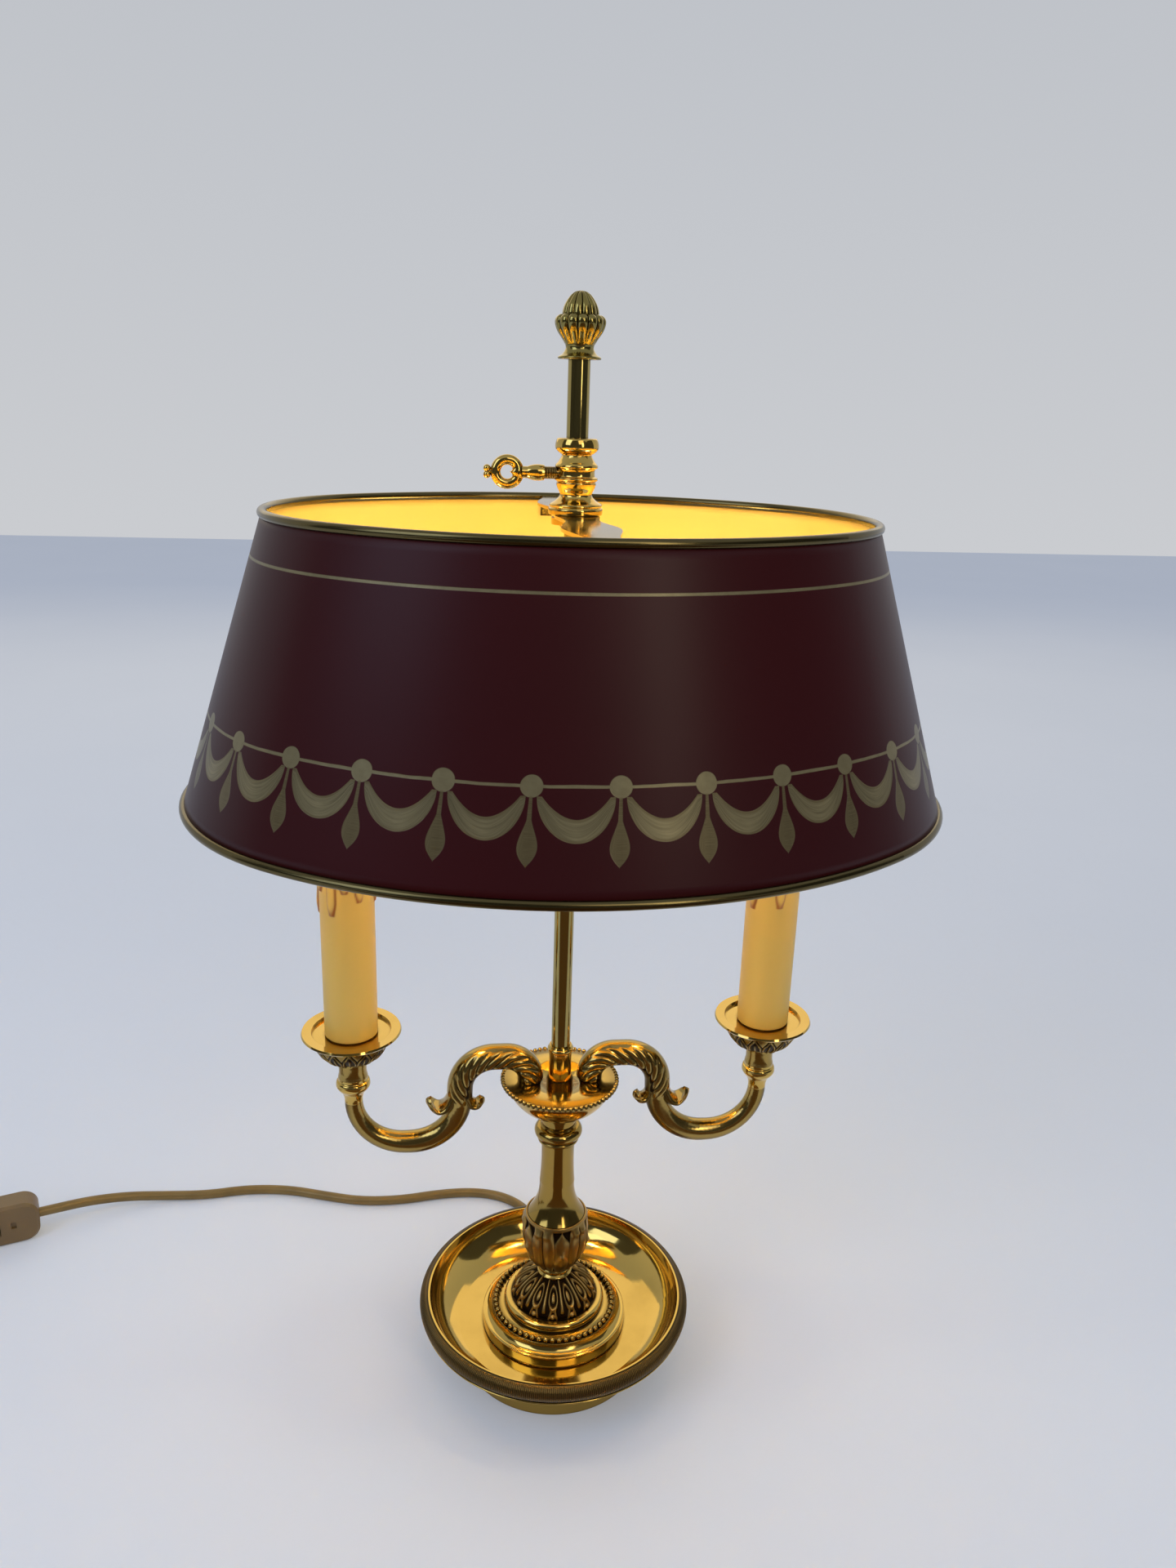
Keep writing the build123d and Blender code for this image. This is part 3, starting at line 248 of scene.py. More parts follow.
def shade_paint(pitch_mm, slant_mm, line_at):
    """Burgundy satin paint with the gilt line and the border of swags."""
    paint = Paint("shade_paint")
    uv = paint.node("UVMap")
    uv.uv_map = "around"
    split = paint.node("SeparateXYZ", Vector=uv.outputs[0])
    around, down = (Val(paint.tree, split.outputs[i]) for i in (0, 1))
    wobble = paint.noise(60.0, 2.0) - 0.5
    x = (around.math("FRACT") - 0.5) * pitch_mm
    y = (down - line_at) * slant_mm + wobble * 0.8
    # gilt line under the top bead and the line that the medallions hang on
    stripe = (-(down * slant_mm - STRIPE_DOWN).size() + STRIPE_HALF).edge(GILT_SOFT)
    string = (-y.size() + STRING_HALF + wobble * 0.3).edge(GILT_SOFT)
    medallion = (-(x * x + y * y).power(0.5) + MEDALLION_R + wobble).edge(GILT_SOFT)
    # a swag hangs between two medallions, between two curves
    half = pitch_mm / 2
    reach = -x.size() + half
    inner = -(reach / (half - SWAG_UPPER_GAP)).power(2.0) + 1.0
    outer = (-(reach / (half - SWAG_GAP)).power(2.0) + 1.0).most(0.0).power(0.55)
    above = y - (inner.most(0.0) * SWAG_UPPER[0] + SWAG_UPPER[1])
    below = -y + (outer * SWAG_LOWER[0] + SWAG_LOWER[1])
    swag = above.least(below).least(x.size() - SWAG_GAP).edge(GILT_SOFT)
    # a drop hangs from each medallion on a long neck
    lean = x - y * DROP_LEAN
    along = (y - DROP_BULGE_TOP) / DROP_BULGE_L
    bulge = (along.most(0.0).least(1.0).power(1.75) * math.pi).sine().most(0.0) * DROP_HALF
    neck = (y * NECK_FLARE + NECK_HALF) * (-y + NECK_FADE[0]).edge(NECK_FADE[1])
    drop = (bulge.most(neck) - lean.size()).least(y - DROP_TOP).least(-y + DROP_FOOT).edge(GILT_SOFT)
    gilt = stripe.most(string).most(medallion).most(swag).most(drop)
    # brush strokes along the swag, darker towards the medallions
    fold = above / (outer * 7.8 + 1.6)
    strokes = paint.node("CombineXYZ", X=fold * 5.0, Y=around * 1.1, Z=0.0).outputs[0]
    streak = paint.noise(2.2, 4.0, strokes, 0.6)
    middle = (x.size() / half).power(0.8)
    tone = (streak * 1.1 - 0.25 + middle * 0.35).clamped()
    gold = paint.mix(tone, srgb(68, 61, 43), srgb(144, 132, 97))
    plain = stripe.most(string).most(medallion)
    flat = paint.mix(paint.noise(300.0), srgb(112, 102, 74), srgb(136, 126, 94))
    gold = paint.mix(plain * 0.8, gold, flat)
    rim = (swag.most(drop) * (-above.least(below) + 0.9).edge(0.5)) * 0.4
    gold = paint.mix(rim, gold, srgb(92, 76, 46))
    cloud = paint.noise(9.0, 3.0)
    red = paint.mix(cloud, srgb(58, 10, 14), srgb(47, 7, 10))
    paint.set(Base_Color=paint.mix(gilt, red, gold), Roughness=gilt * -0.02 + cloud * 0.05 + 0.34,
              Metallic=gilt * 0.4, IOR=1.28)
    paint.bump(paint.noise(900.0, 2.0) * 0.3 + gilt, 0.00012, 0.35)
    return paint.material


def clouded(name, scale, light, dark):
    """A material whose colour wanders between two tones, and the noise that leads it."""
    paint = Paint(name)
    cloud = paint.noise(scale)
    paint.set(Base_Color=paint.mix(cloud, light, dark))
    return paint, cloud


def shade_lining():
    paint, _ = clouded("shade_lining", 14.0, srgb(236, 196, 84), srgb(242, 204, 96))
    paint.set(Roughness=0.55)
    paint.bump(paint.noise(700.0, 2.0), 0.0001, 0.3)
    return paint.material


def candle_wax():
    paint = Paint("candle")
    stain = paint.attribute("stain_and_shade")
    cloud = paint.noise(26.0, 3.0, paint.stretched(1, 1, 0.25))
    ivory = paint.mix(cloud, srgb(214, 184, 94), srgb(196, 164, 76))
    paint.set(Base_Color=paint.mix(stain, ivory, srgb(146, 82, 24)), Roughness=0.42, Subsurface_Weight=0.06,
              Subsurface_Radius=(0.003, 0.002, 0.001))
    paint.bump(paint.noise(260.0, 2.0), 0.0001, 0.25)
    return paint.material


BULB_GLOW = 34.0


def bulb_light():
    paint = Paint("bulb")
    cloud = paint.noise(60.0, 2.0)
    paint.set(Base_Color=srgb(255, 240, 210), Roughness=0.25,
              Emission_Color=paint.mix(cloud, srgb(255, 236, 188), srgb(255, 240, 198)),
              Emission_Strength=BULB_GLOW)
    return paint.material


def plastic(name, light, dark, roughness):
    paint, _ = clouded(name, 45.0, light, dark)
    fine = paint.noise(380.0)
    paint.set(Roughness=fine * 0.1 + roughness)
    paint.bump(fine, 0.00008, 0.3)
    return paint.material


def cord_sheath():
    """Soft PVC with a metallic gold tint."""
    paint, cloud = clouded("gold_cord", 70.0, srgb(142, 116, 66), srgb(112, 90, 48))
    paint.set(Metallic=0.35, Roughness=cloud * 0.15 + 0.34)
    paint.bump(paint.noise(900.0, 2.0), 0.00008, 0.25)
    return paint.material


def plain_metal(name, colour, roughness):
    paint, cloud = clouded(name, 60.0, colour, (*(c * 0.8 for c in colour[:3]), 1.0))
    paint.set(Metallic=1.0, Roughness=cloud * 0.15 + roughness)
    return paint.material


def felt():
    paint = Paint("felt")
    fibre = paint.noise(1500.0, 4.0)
    paint.set(Base_Color=paint.mix(fibre, srgb(30, 52, 38), srgb(48, 74, 54)), Roughness=0.95)
    paint.bump(fibre, 0.0003, 0.6)
    return paint.material


# --- meshes
def piece(name, points, quads, material, body, stain_and_shade=None, uv=None):
    """A mesh object that rides on a body. points are in millimetres."""
    mesh = bpy.data.meshes.new(name)
    mesh.from_pydata([tuple(p) for p in np.asarray(points) * MM], [], quads)
    for polygon in mesh.polygons:
        polygon.use_smooth = True
    if stain_and_shade is not None:
        layer = mesh.attributes.new("stain_and_shade", "FLOAT", "POINT")
        layer.data.foreach_set("value", np.asarray(stain_and_shade, float).ravel())
    if uv is not None:
        layer = mesh.uv_layers.new(name="around")
        layer.data.foreach_set("uv", np.asarray(uv, float).ravel())
    mesh.materials.append(material)
    mesh.update()
    thing = add(name, mesh)
    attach(thing, body)
    return thing


def grid_quads(rows, columns, wrap_rows=False):
    """Quads of a grid whose columns run round and close."""
    quads = []
    for r in range(rows if wrap_rows else rows - 1):
        for c in range(columns):
            here, there = r * columns, ((r + 1) % rows) * columns
            beside = (c + 1) % columns
            quads.append((here + c, here + beside, there + beside, there + c))
    return quads


def lengths_along(line):
    """How far along a line each of its points is."""
    return np.concatenate([[0], np.cumsum(np.linalg.norm(np.diff(line, axis=0), axis=1))])


def smooth_line(points, steps):
    """A Catmull-Rom line through the points, in the same number of steps between each two."""
    points = np.asarray(points, float)
    padded = np.vstack([2 * points[0] - points[1], points, 2 * points[-1] - points[-2]])
    line = []
    for a, b, c, d in zip(padded, padded[1:], padded[2:], padded[3:]):
        for t in np.arange(steps) / steps:
            line.append(0.5 * (2 * b + (c - a) * t + (2 * a - 5 * b + 4 * c - d) * t ** 2
                               + (3 * b - a - 3 * c + d) * t ** 3))
    line.append(points[-1])
    return np.array(line)


def lathe(name, profile, material, body="stand", around=96, steps=6, relief=None, bore=5.05, middle=0.0,
          creases=()):
    """A turned piece with a carved relief.

    profile runs from the bottom up as (radius, height). relief gives, for the angle in turns and the
    share of the way up, how far the surface stands out and how dark it is painted there, 0 to 1. The axis
    stands at x = middle. creases are places on the profile painted darker, each (radius, height, reach)."""
    line = smooth_line(profile, steps) if steps > 1 else np.asarray(profile, float)
    rows = len(line)
    slope = np.gradient(line, axis=0)
    normal = np.stack([slope[:, 1], -slope[:, 0]], axis=1)
    normal /= np.maximum(np.linalg.norm(normal, axis=1), 1e-9)[:, None]
    length = lengths_along(line)
    share = (length / length[-1])[:, None] * np.ones(around)
    turn = np.ones(rows)[:, None] * np.arange(around) / around
    out, stain_and_shade = relief(turn, share) if relief else np.zeros((2, rows, around))
    for radius, height, reach in creases:
        away = np.linalg.norm(line - (radius, height), axis=1)[:, None]
        stain_and_shade = np.maximum(stain_and_shade, bell(away, 0, reach))
    radius = line[:, 0:1] + normal[:, 0:1] * out
    height = line[:, 1:2] + normal[:, 1:2] * out
    angle = turn * 2 * math.pi
    rings = [np.stack([middle + radius * np.cos(angle), radius * np.sin(angle), height], axis=2)]
    for at in (height[-1].mean(), height[0].mean()):
        inner = [middle + bore * np.cos(angle[0]), bore * np.sin(angle[0]), np.full(around, at)]
        rings.append(np.stack(inner, axis=1)[None])
    points = np.concatenate(rings).reshape(-1, 3)
    flat = np.pad(stain_and_shade, ((0, 2), (0, 0)))
    return piece(name, points, grid_quads(rows + 2, around, wrap_rows=True), material, body, stain_and_shade=flat)


def soft_step(value, low, high):
    share = np.clip((value - low) / (high - low), 0, 1)
    return share * share * (3 - 2 * share)


def bell(value, top, reach):
    return np.exp(-((value - top) / reach) ** 2)


def within(turn, count, shift=0.0):
    """Where an angle lies across its leaf, from -1 at one edge to 1 at the other."""
    return 2 * ((turn * count + shift) % 1.0) - 1


def pillow(across, half):
    """A rounded ridge of the given half width."""
    return np.sqrt(np.clip(1 - (across / np.maximum(half, 0.02)) ** 2, 0, 1))


def lotus_relief(count, depth, shift):
    """Broad leaves of two smooth lobes with curled tips, and two pointed leaves in each gap."""
    def relief(turn, share):
        broad = np.abs(within(turn, count, shift))
        small = np.abs(within(turn, count, shift + 0.5))
        half = 0.33 * np.sin((0.14 + 0.74 * share) * math.pi) ** 0.4
        lobes = pillow(broad - half, half)
        front = 0.46 * np.clip(share / 0.2, 0, 1) ** 0.5 * (1 - soft_step(share, 0.32, 0.62))
        behind = 0.46 * (1 - soft_step(share, 0.68, 0.92))
        sprig = 1.2 * pillow(small, front) * soft_step(front, 0.0, 0.14)
        back = 0.7 * pillow(small, behind)
        curl = 0.8 * bell(share, 0.83, 0.055) * pillow(broad, 0.5)
        curl += 0.45 * bell(share, 0.52, 0.06) * bell(small, 0, 0.16)
        lift = np.maximum(np.maximum(lobes, sprig), back)
        carved = soft_step(share, 0.02, 0.08) * (1 - soft_step(share, 0.87, 0.94))
        return depth * (lift + curl - 0.5) * carved, (1 - soft_step(lift, 0.1, 0.65)) * carved

    return relief


def arch_relief(count, depth):
    """A collar of upright pointed arches with a rib in each."""
    def relief(turn, share):
        across = np.abs(within(turn, count))
        width = 0.92 * (1 - soft_step(share, 0.45, 1.0) ** 1.4) + 0.04
        inside = width - across
        frame_line = bell(inside, 0.12, 0.11)
        rib = bell(across, 0, 0.12) * (inside > 0) * (1 - soft_step(share, 0.6, 0.8))
        between = 0.6 * soft_step(-inside, 0.05, 0.3)
        lift = np.maximum(np.maximum(frame_line, rib * 0.8), between)
        return depth * (lift - 0.4), 1 - soft_step(lift, 0.15, 0.8)

    return relief


def palmette_relief(count, depth):
    """Oval scrolls round a tongue, darts and slanting leaves between them, and a bead under each."""
    def relief(turn, share):
        across = np.abs(within(turn, count))
        away = np.sqrt((across / 0.62) ** 2 + ((share - 0.56) / 0.36) ** 2)
        scroll = bell(away, 0.84, 0.17)
        tongue = 0.8 * pillow(away, 0.45)
        dart = 1.1 * pillow(1 - across, 0.20) * soft_step(share, 0.10, 0.22)
        leaf = 0.8 * pillow(across - 0.42 + 0.9 * share, 0.13) * (1 - soft_step(share, 0.26, 0.34))
        bead = 1.3 * bell(across, 0, 0.26) * bell(share, 0.07, 0.065)
        lift = np.maximum.reduce([scroll, tongue, dart, leaf, bead])
        return depth * (lift - 0.4), 1 - soft_step(lift, 0.1, 0.65)

    return relief


def flutes(count, depth, rise=0.0, crown=1.0):
    """Round flutes side by side, with thin dark creases between them."""
    def relief(turn, share):
        across = np.abs(within(turn, count))
        crease = 1 - pillow(across, 1)
        fade = soft_step(share, rise, rise + 0.35) * (1 - crown * soft_step(share, 0.86, 1.0))
        return -depth * crease * fade, soft_step(across, 0.82, 0.98) * fade

    return relief


def pearls(name, count, row_radius, radius, height, material):
    """A row of round beads on the stand, each painted darker towards its bottom: painted shade."""
    rings, segments = 7, 12
    unit = []
    for i in range(rings):
        tilt = math.pi * i / (rings - 1)
        reach = max(math.sin(tilt), 0.02)
        unit += [(reach * math.cos(a), reach * math.sin(a), math.cos(tilt))
                 for a in np.arange(segments) * 2 * math.pi / segments]
    unit = np.array(unit) * radius
    quads, points = [], []
    # painted shade: darker towards the bottom of each pearl
    stain_and_shade = np.tile(soft_step(-unit[:, 2] / radius, -0.3, 0.8), count)
    for i in range(count):
        angle = 2 * math.pi * i / count
        base = len(points)
        points += list(unit + (row_radius * math.cos(angle), row_radius * math.sin(angle), height))
        quads += [tuple(base + q for q in quad) for quad in grid_quads(rings, segments)]
    piece(name, points, quads, material, "stand", stain_and_shade=stain_and_shade)


# --- sizes read from the parts of model.glb
def level(node, top=False):
    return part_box(node)[1 if top else 0].z / MM


def width(node):
    """Half of a node's size along Y."""
    low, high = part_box(node)
    return (high.y - low.y) / 2 / MM


def middle_x(node):
    low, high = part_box(node)
    return (low.x + high.x) / 2 / MM


def extent(node):
    """Bottom, height and half width of a node."""
    low = level(node)
    return low, level(node, True) - low, width(node)


def fitted(shares, low, tall, wide=1):
    """A profile whose heights, and with wide its radii, are given as shares."""
    return [(wide * radius, low + tall * height) for radius, height in shares]


def raised(profile, z):
    """A profile lifted by z."""
    return [(radius, z + height) for radius, height in profile]


# --- foot and column
REEDS = 470
REED_DEPTH = 0.28
HUB_PEARL_R = 1.35
HUB_PEARL_DOWN = 0.75   # the pearls' middles, under the plate's top
HUB_EDGE_IN = 0.4       # the plate's edge, inside the pearls' middles
PEDESTAL_PEARL_R = 1.55
PEDESTAL_ROW_R = 33.2


def make_rim_band(material, lip_material):
    """Half-round band with fine upright reeds, and the plain lip under it."""
    low, tall, wide = extent("rim_band")
    outer = wide - 0.15
    middle, half = low + tall / 2, tall / 2 - 0.1
    deep = 5.0
    profile = [(outer - deep + deep * math.cos(a), middle + half * math.sin(a))
               for a in np.linspace(-1.5, 1.5, 13)]

    def relief(turn, share):
        wave = np.abs(np.cos(turn * REEDS * math.pi))
        fade = np.minimum(soft_step(share, 0.08, 0.2), 1 - soft_step(share, 0.84, 0.94))
        return (wave - 1) * REED_DEPTH * fade, (1 - wave) * fade

    band = lathe("reeded_band", profile, material, around=REEDS * 6, steps=1, relief=relief,
                 bore=outer - deep + 0.4)
    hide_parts("rim_band")
    lip = raised([(73.9, 0), (74.7, 0.1), (74.9, 0.5), (74.6, 0.9), (73.9, 1.0)], low)
    lathe("rim_lip", lip, lip_material, around=192, steps=2, bore=69.4)


def make_leaf_dome(material):
    low, tall, wide = extent("leaf_dome")
    profile = fitted([(1, 0), (0.985, 0.16), (0.87, 0.46), (0.66, 0.76)], low, tall, wide)
    profile.append((9.9, low + tall))
    dome = lathe("acanthus_dome", profile, material, around=624, steps=16,
                 relief=palmette_relief(13, 1.3))
    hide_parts("leaf_dome")


def make_leaf_cup(material):
    low, tall, wide = extent("leaf_cup")
    profile = [(9.4, low)]
    profile += fitted([(0.66, 0.11), (0.86, 0.30), (0.96, 0.54), (0.98, 0.74), (0.93, 0.88)], low, tall, wide)
    profile += [(17.3, low + tall * 0.96)] + raised([(16.9, 0.5), (16.2, 0.7), (15.8, 0.2)], low + tall)
    cup = lathe("lotus_cup", profile, material, around=480, steps=12,
                relief=lotus_relief(5, 1.7, 0.16))
    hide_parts("leaf_cup")


def make_socket_cup(side, material):
    node = f"socket_cup_{side}"
    low, tall, wide = extent(node)
    profile = fitted([(7.7, 0), (7.2, 0.12), (7.3, 0.28), (7.9, 0.42)], low, tall)
    profile += fitted([(0.56, 0.47), (0.76, 0.58), (0.92, 0.76), (0.98, 0.93), (0.97, 1)], low, tall, wide)
    leaves = arch_relief(14, 1.0)

    def relief(turn, share):
        out, stain_and_shade = leaves(turn, np.clip((share - 0.42) / 0.56, 0, 1))
        on = soft_step(share, 0.42, 0.5)
        return out * on, stain_and_shade * on

    cup = lathe(f"leaf_socket_{side}", profile, material, around=360, steps=8, relief=relief,
                bore=4.05, middle=middle_x(node))
    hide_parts(node)


def make_finial(material):
    """Flanged foot, a gadrooned bulb and a fluted bud."""
    low = level("finial")
    flange = raised([(9.55, 0), (9.55, 0.9), (7.6, 2.2), (6.3, 4.4), (6.5, 6.2)], low)
    bulb = raised([(6.5, 6.0), (8.0, 8.4), (10.2, 11.6), (11.3, 14.8), (10.9, 17.0), (9.2, 18.3),
                   (7.4, 18.0)], low)
    bud = raised([(7.9, 16.8), (8.1, 19.2), (7.2, 22.4), (5.0, 25.8), (2.8, 27.6), (0.6, 28.2)], low)
    foot = lathe("finial_foot", flange, material)
    lathe("finial_bulb", bulb, material, around=420, steps=8, relief=flutes(14, 1.3, crown=0.0))
    lathe("finial_bud", bud, material, around=360, steps=8,
          relief=flutes(12, 1.0, rise=-0.4, crown=0.6), bore=0.3)
    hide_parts("finial")


def make_collar(material):
    """The clamp collar, with all its turned rings, and the spigot under its wide foot."""
    low, high = level("clamp_collar"), level("clamp_collar", True)
    foot = level("carrier_bar", True)
    rings = [(12.2, 0), (12.4, 0.015), (12.4, 0.075), (11.8, 0.10), (12.1, 0.12), (11.6, 0.145), (9.4, 0.185),
             (7.7, 0.235), (7.4, 0.28), (8.5, 0.35), (9.1, 0.41), (8.8, 0.435), (9.7, 0.455), (9.7, 0.485),
             (8.6, 0.505), (8.4, 0.55), (8.6, 0.60), (9.7, 0.62), (9.6, 0.655), (8.3, 0.70), (7.0, 0.765),
             (6.9, 0.79), (8.2, 0.815), (9.7, 0.86), (9.9, 0.91), (9.5, 0.965), (8.7, 1), (6.2, 1)]
    profile = fitted(rings, foot, high - foot)
    collar = lathe("turned_collar", profile, material, "collar", around=128, steps=5)
    spigot = [(7.2, low), (7.5, low + 0.3), (7.5, foot), (7.5, foot + 0.4)]
    lathe("collar_spigot", spigot, material, "collar", around=64, steps=1)
    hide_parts("clamp_collar")


def make_pearl_rings(material, plate_material):
    """The hub's top plate and the pedestal, with their rows of pearls as pieces of their own."""
    top = level("stem_ferrule")
    edge = width("hub_plate") - HUB_PEARL_R - HUB_EDGE_IN
    plate = raised([(edge - 0.8, -1.5), (edge, -1.3), (edge, -0.2), (edge - 0.3, 0), (edge - 9, 0)], top)
    # the plate is painted darker along the pearls under its edge
    disc = lathe("hub_disc", plate, plate_material, around=128, steps=1,
                 creases=((edge, top - HUB_PEARL_DOWN, 0.9),))
    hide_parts("hub_plate")
    pearls("hub_pearls", 68, edge + HUB_EDGE_IN, HUB_PEARL_R, top - HUB_PEARL_DOWN, material)
    z = level("pedestal_ring")
    rise = [(40.5, 0), (40.5, 6.0), (40.2, 6.7), (39.5, 7.0), (38.4, 7.2), (36.6, 8.4), (35.4, 10.2),
            (34.9, 11.4), (PEDESTAL_ROW_R, 11.2), (31.5, 11.4), (29.6, 11.9), (27.4, 12.3), (28.0, 13.4),
            (28.2, 14.8), (27.7, 16.0), (26.6, 16.8), (25.2, 16.9), (23.6, 17.0)]
    # the steps are painted darker in the pearls' groove, in the groove inside it and where the dome stands on
    # them
    ring = lathe("pedestal_steps", raised(rise, z), plate_material, around=192, steps=4,
                 creases=((PEDESTAL_ROW_R, z + 11.2, 2.4), (27.4, z + 12.3, 1.0), (23.9, z + 17.0, 0.8)))
    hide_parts("pedestal_ring")
    pearls("pedestal_pearls", 56, PEDESTAL_ROW_R, PEDESTAL_PEARL_R, z + 12.4, material)


# --- arms
ARM_R = 6.1
ARM_TIP_R = 4.7
ARM_CREST = 12.7
ARM_DROP = 36.3
ARM_START_X = 16.5
ARM_CREST_X = 51.8
ARM_DIP_X = 53.9
ARM_BENDS = (12.4, 17.2, 26.8, 26.8)
LEAF_LENGTH = 59.0
LEAFLET_PITCH = 5.6
LEAFLET_SLANT = 1.35    # how far a leaflet runs along the arm for each millimetre that it runs round it
LEAF_RIDGE = 3.0        # where the leaflets start, round the tube from its outer side
LEAF_EDGE = 10.8        # where they end
ARM_STEP = 0.45


def arm_line():
    """Centre line of the right arm in the XZ plane, as arcs and straight runs."""
    plate = level("stem_ferrule")
    crest, dip = plate + ARM_CREST, plate - ARM_DROP
    reach = middle_x("candle_sleeve_right")
    corners = np.array([(ARM_START_X, plate - 1.0), (ARM_START_X, crest), (ARM_CREST_X, crest),
                        (ARM_DIP_X, dip), (reach, dip), (reach, plate - 9.0)])
    line = [corners[0]]
    for before, corner, after, radius in zip(corners, corners[1:], corners[2:], ARM_BENDS):
        into = (corner - before) / np.linalg.norm(corner - before)
        out = (after - corner) / np.linalg.norm(after - corner)
        half_turn = math.acos(np.clip(into @ out, -1, 1)) / 2
        cut = radius * math.tan(half_turn)
        inward = (out - into) / np.linalg.norm(out - into)
        centre = corner + inward * radius / math.cos(half_turn)
        x, z = corner - into * cut - centre
        spin = math.copysign(1, into[0] * out[1] - into[1] * out[0])
        for a in spin * np.linspace(0, 2 * half_turn, 17):
            line.append(centre + (x * math.cos(a) - z * math.sin(a), x * math.sin(a) + z * math.cos(a)))
    line.append(corners[-1])
    return resample(np.array(line), ARM_STEP)


def resample(line, step):
    """Points at equal steps along a line."""
    lengths = lengths_along(line)
    stations = np.linspace(0, lengths[-1], int(lengths[-1] / step) + 1)
    return np.stack([np.interp(stations, lengths, line[:, i]) for i in range(line.shape[1])], axis=1)


def arm_leaf(along, aside):
    """How far the leaf stands out of the tube, and how dark it is painted: patina in the leaflets' grooves,
    painted shade just past the leaf's edge and along the tube's underside.

    along runs on the arm's line from the hub, aside round the tube from its outer side, both in
    millimetres. The leaflets slant from the smooth ridge towards the leaf's tip."""
    across = within((along - LEAFLET_SLANT * (aside - LEAF_RIDGE)) / LEAFLET_PITCH, 1)
    rounded = pillow(across, 1)
    edge = LEAF_EDGE + 1.5 * rounded
    on_leaf = 1 - soft_step(aside, edge - 0.5, edge + 0.3)
    parted = soft_step(aside, LEAF_RIDGE, LEAF_RIDGE + 3.2)
    rolled = bell(aside, edge - 1.3, 0.8)
    cover = soft_step(along, 0.0, 1.5) * (1 - soft_step(along, LEAF_LENGTH - 3.0, LEAF_LENGTH + 4.0))
    lift = cover * on_leaf * (1.5 - 1.25 * parted * (1 - rounded) + 0.35 * rolled * parted)
    groove = on_leaf * parted * (1 - soft_step(rounded, 0.25, 0.8))
    # painted shade on the tube just past the leaf's overhanging edge
    edge_shade = bell(aside, edge + 1.0, 1.2)
    # painted shade along the tube's underside
    under = 0.6 * soft_step(aside, 10.0, 16.0)
    return lift, np.maximum(cover * np.maximum(groove, edge_shade), under)


def closed_tube(name, points, stain_and_shade, material, flip):
    """A piece from rings of points (x, y, z), closed at both ends; flip mirrors it in X."""
    around = points.shape[1]
    points = points * (flip, 1, 1)
    caps = points[[0, -1]].mean(axis=1, keepdims=True) * np.ones((1, around, 1))
    rings = np.concatenate([caps[:1], points, caps[1:]])
    flat = np.pad(stain_and_shade, ((1, 1), (0, 0)))
    quads = grid_quads(len(rings), around)
    if flip > 0:
        quads = [quad[::-1] for quad in quads]
    return piece(name, rings.reshape(-1, 3), quads, material, "stand", stain_and_shade=np.clip(flat, 0, 1))


def ring_angles(rows, around):
    return np.ones(rows)[:, None] * np.arange(around) * 2 * math.pi / around


def across_line(line):
    """Unit vectors square to a line in the XZ plane, on its left."""
    tangent = np.gradient(line, axis=0)
    tangent /= np.linalg.norm(tangent, axis=1)[:, None]
    return np.stack([-tangent[:, 1], tangent[:, 0]], axis=1)


def beside(line, out, y):
    """Points that stand out from a line in the XZ plane, at y."""
    normal = across_line(line)
    x, z = (line[:, i:i + 1] + normal[:, i:i + 1] * out for i in (0, 1))
    return np.stack([x, y, z], axis=2)


def make_arm(side, carved, polished):
    """S-scroll arm: plain tube below, an acanthus leaf wrapped over its crest, its tips and its end."""
    flip = 1 if side == "right" else -1
    line = arm_line()
    rows, around = len(line), 132
    along = np.arange(rows)[:, None] * ARM_STEP * np.ones(around)
    angle = ring_angles(rows, around)
    aside = np.abs((angle + math.pi) % (2 * math.pi) - math.pi) * ARM_R
    lift, stain_and_shade = arm_leaf(along, aside)
    far = along / along.max()
    radius = ARM_R + (ARM_TIP_R - ARM_R) * soft_step(far, 0.62, 1.0) + lift
    points = beside(line, radius * np.cos(angle), radius * np.sin(angle))
    arm = closed_tube(f"scroll_arm_{side}", points, stain_and_shade, carved, flip)
    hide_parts(f"arm_{side}")
    outer = [(0.35, 1.35, 0.40, 0.80), (0.62, 0.55, 0.44, 1.00), (1.05, -0.22, 0.42, 1.12),
             (1.70, -0.62, 0.33, 1.12), (2.28, -0.42, 0.25, 0.92), (2.62, 0.02, 0.18, 0.60),
             (2.72, 0.42, 0.08, 0.25)]
    inner = [(-0.55, 1.20, 0.40, 0.70), (-0.72, 0.50, 0.42, 0.84), (-1.05, -0.15, 0.38, 0.90),
             (-1.55, -0.42, 0.30, 0.82), (-1.98, -0.12, 0.22, 0.66), (-2.10, 0.32, 0.10, 0.30)]
    make_leaf_tip(f"outer_tip_{side}", outer, flip, carved)
    make_leaf_tip(f"inner_tip_{side}", inner, flip, carved)
    make_arm_end(side, polished)


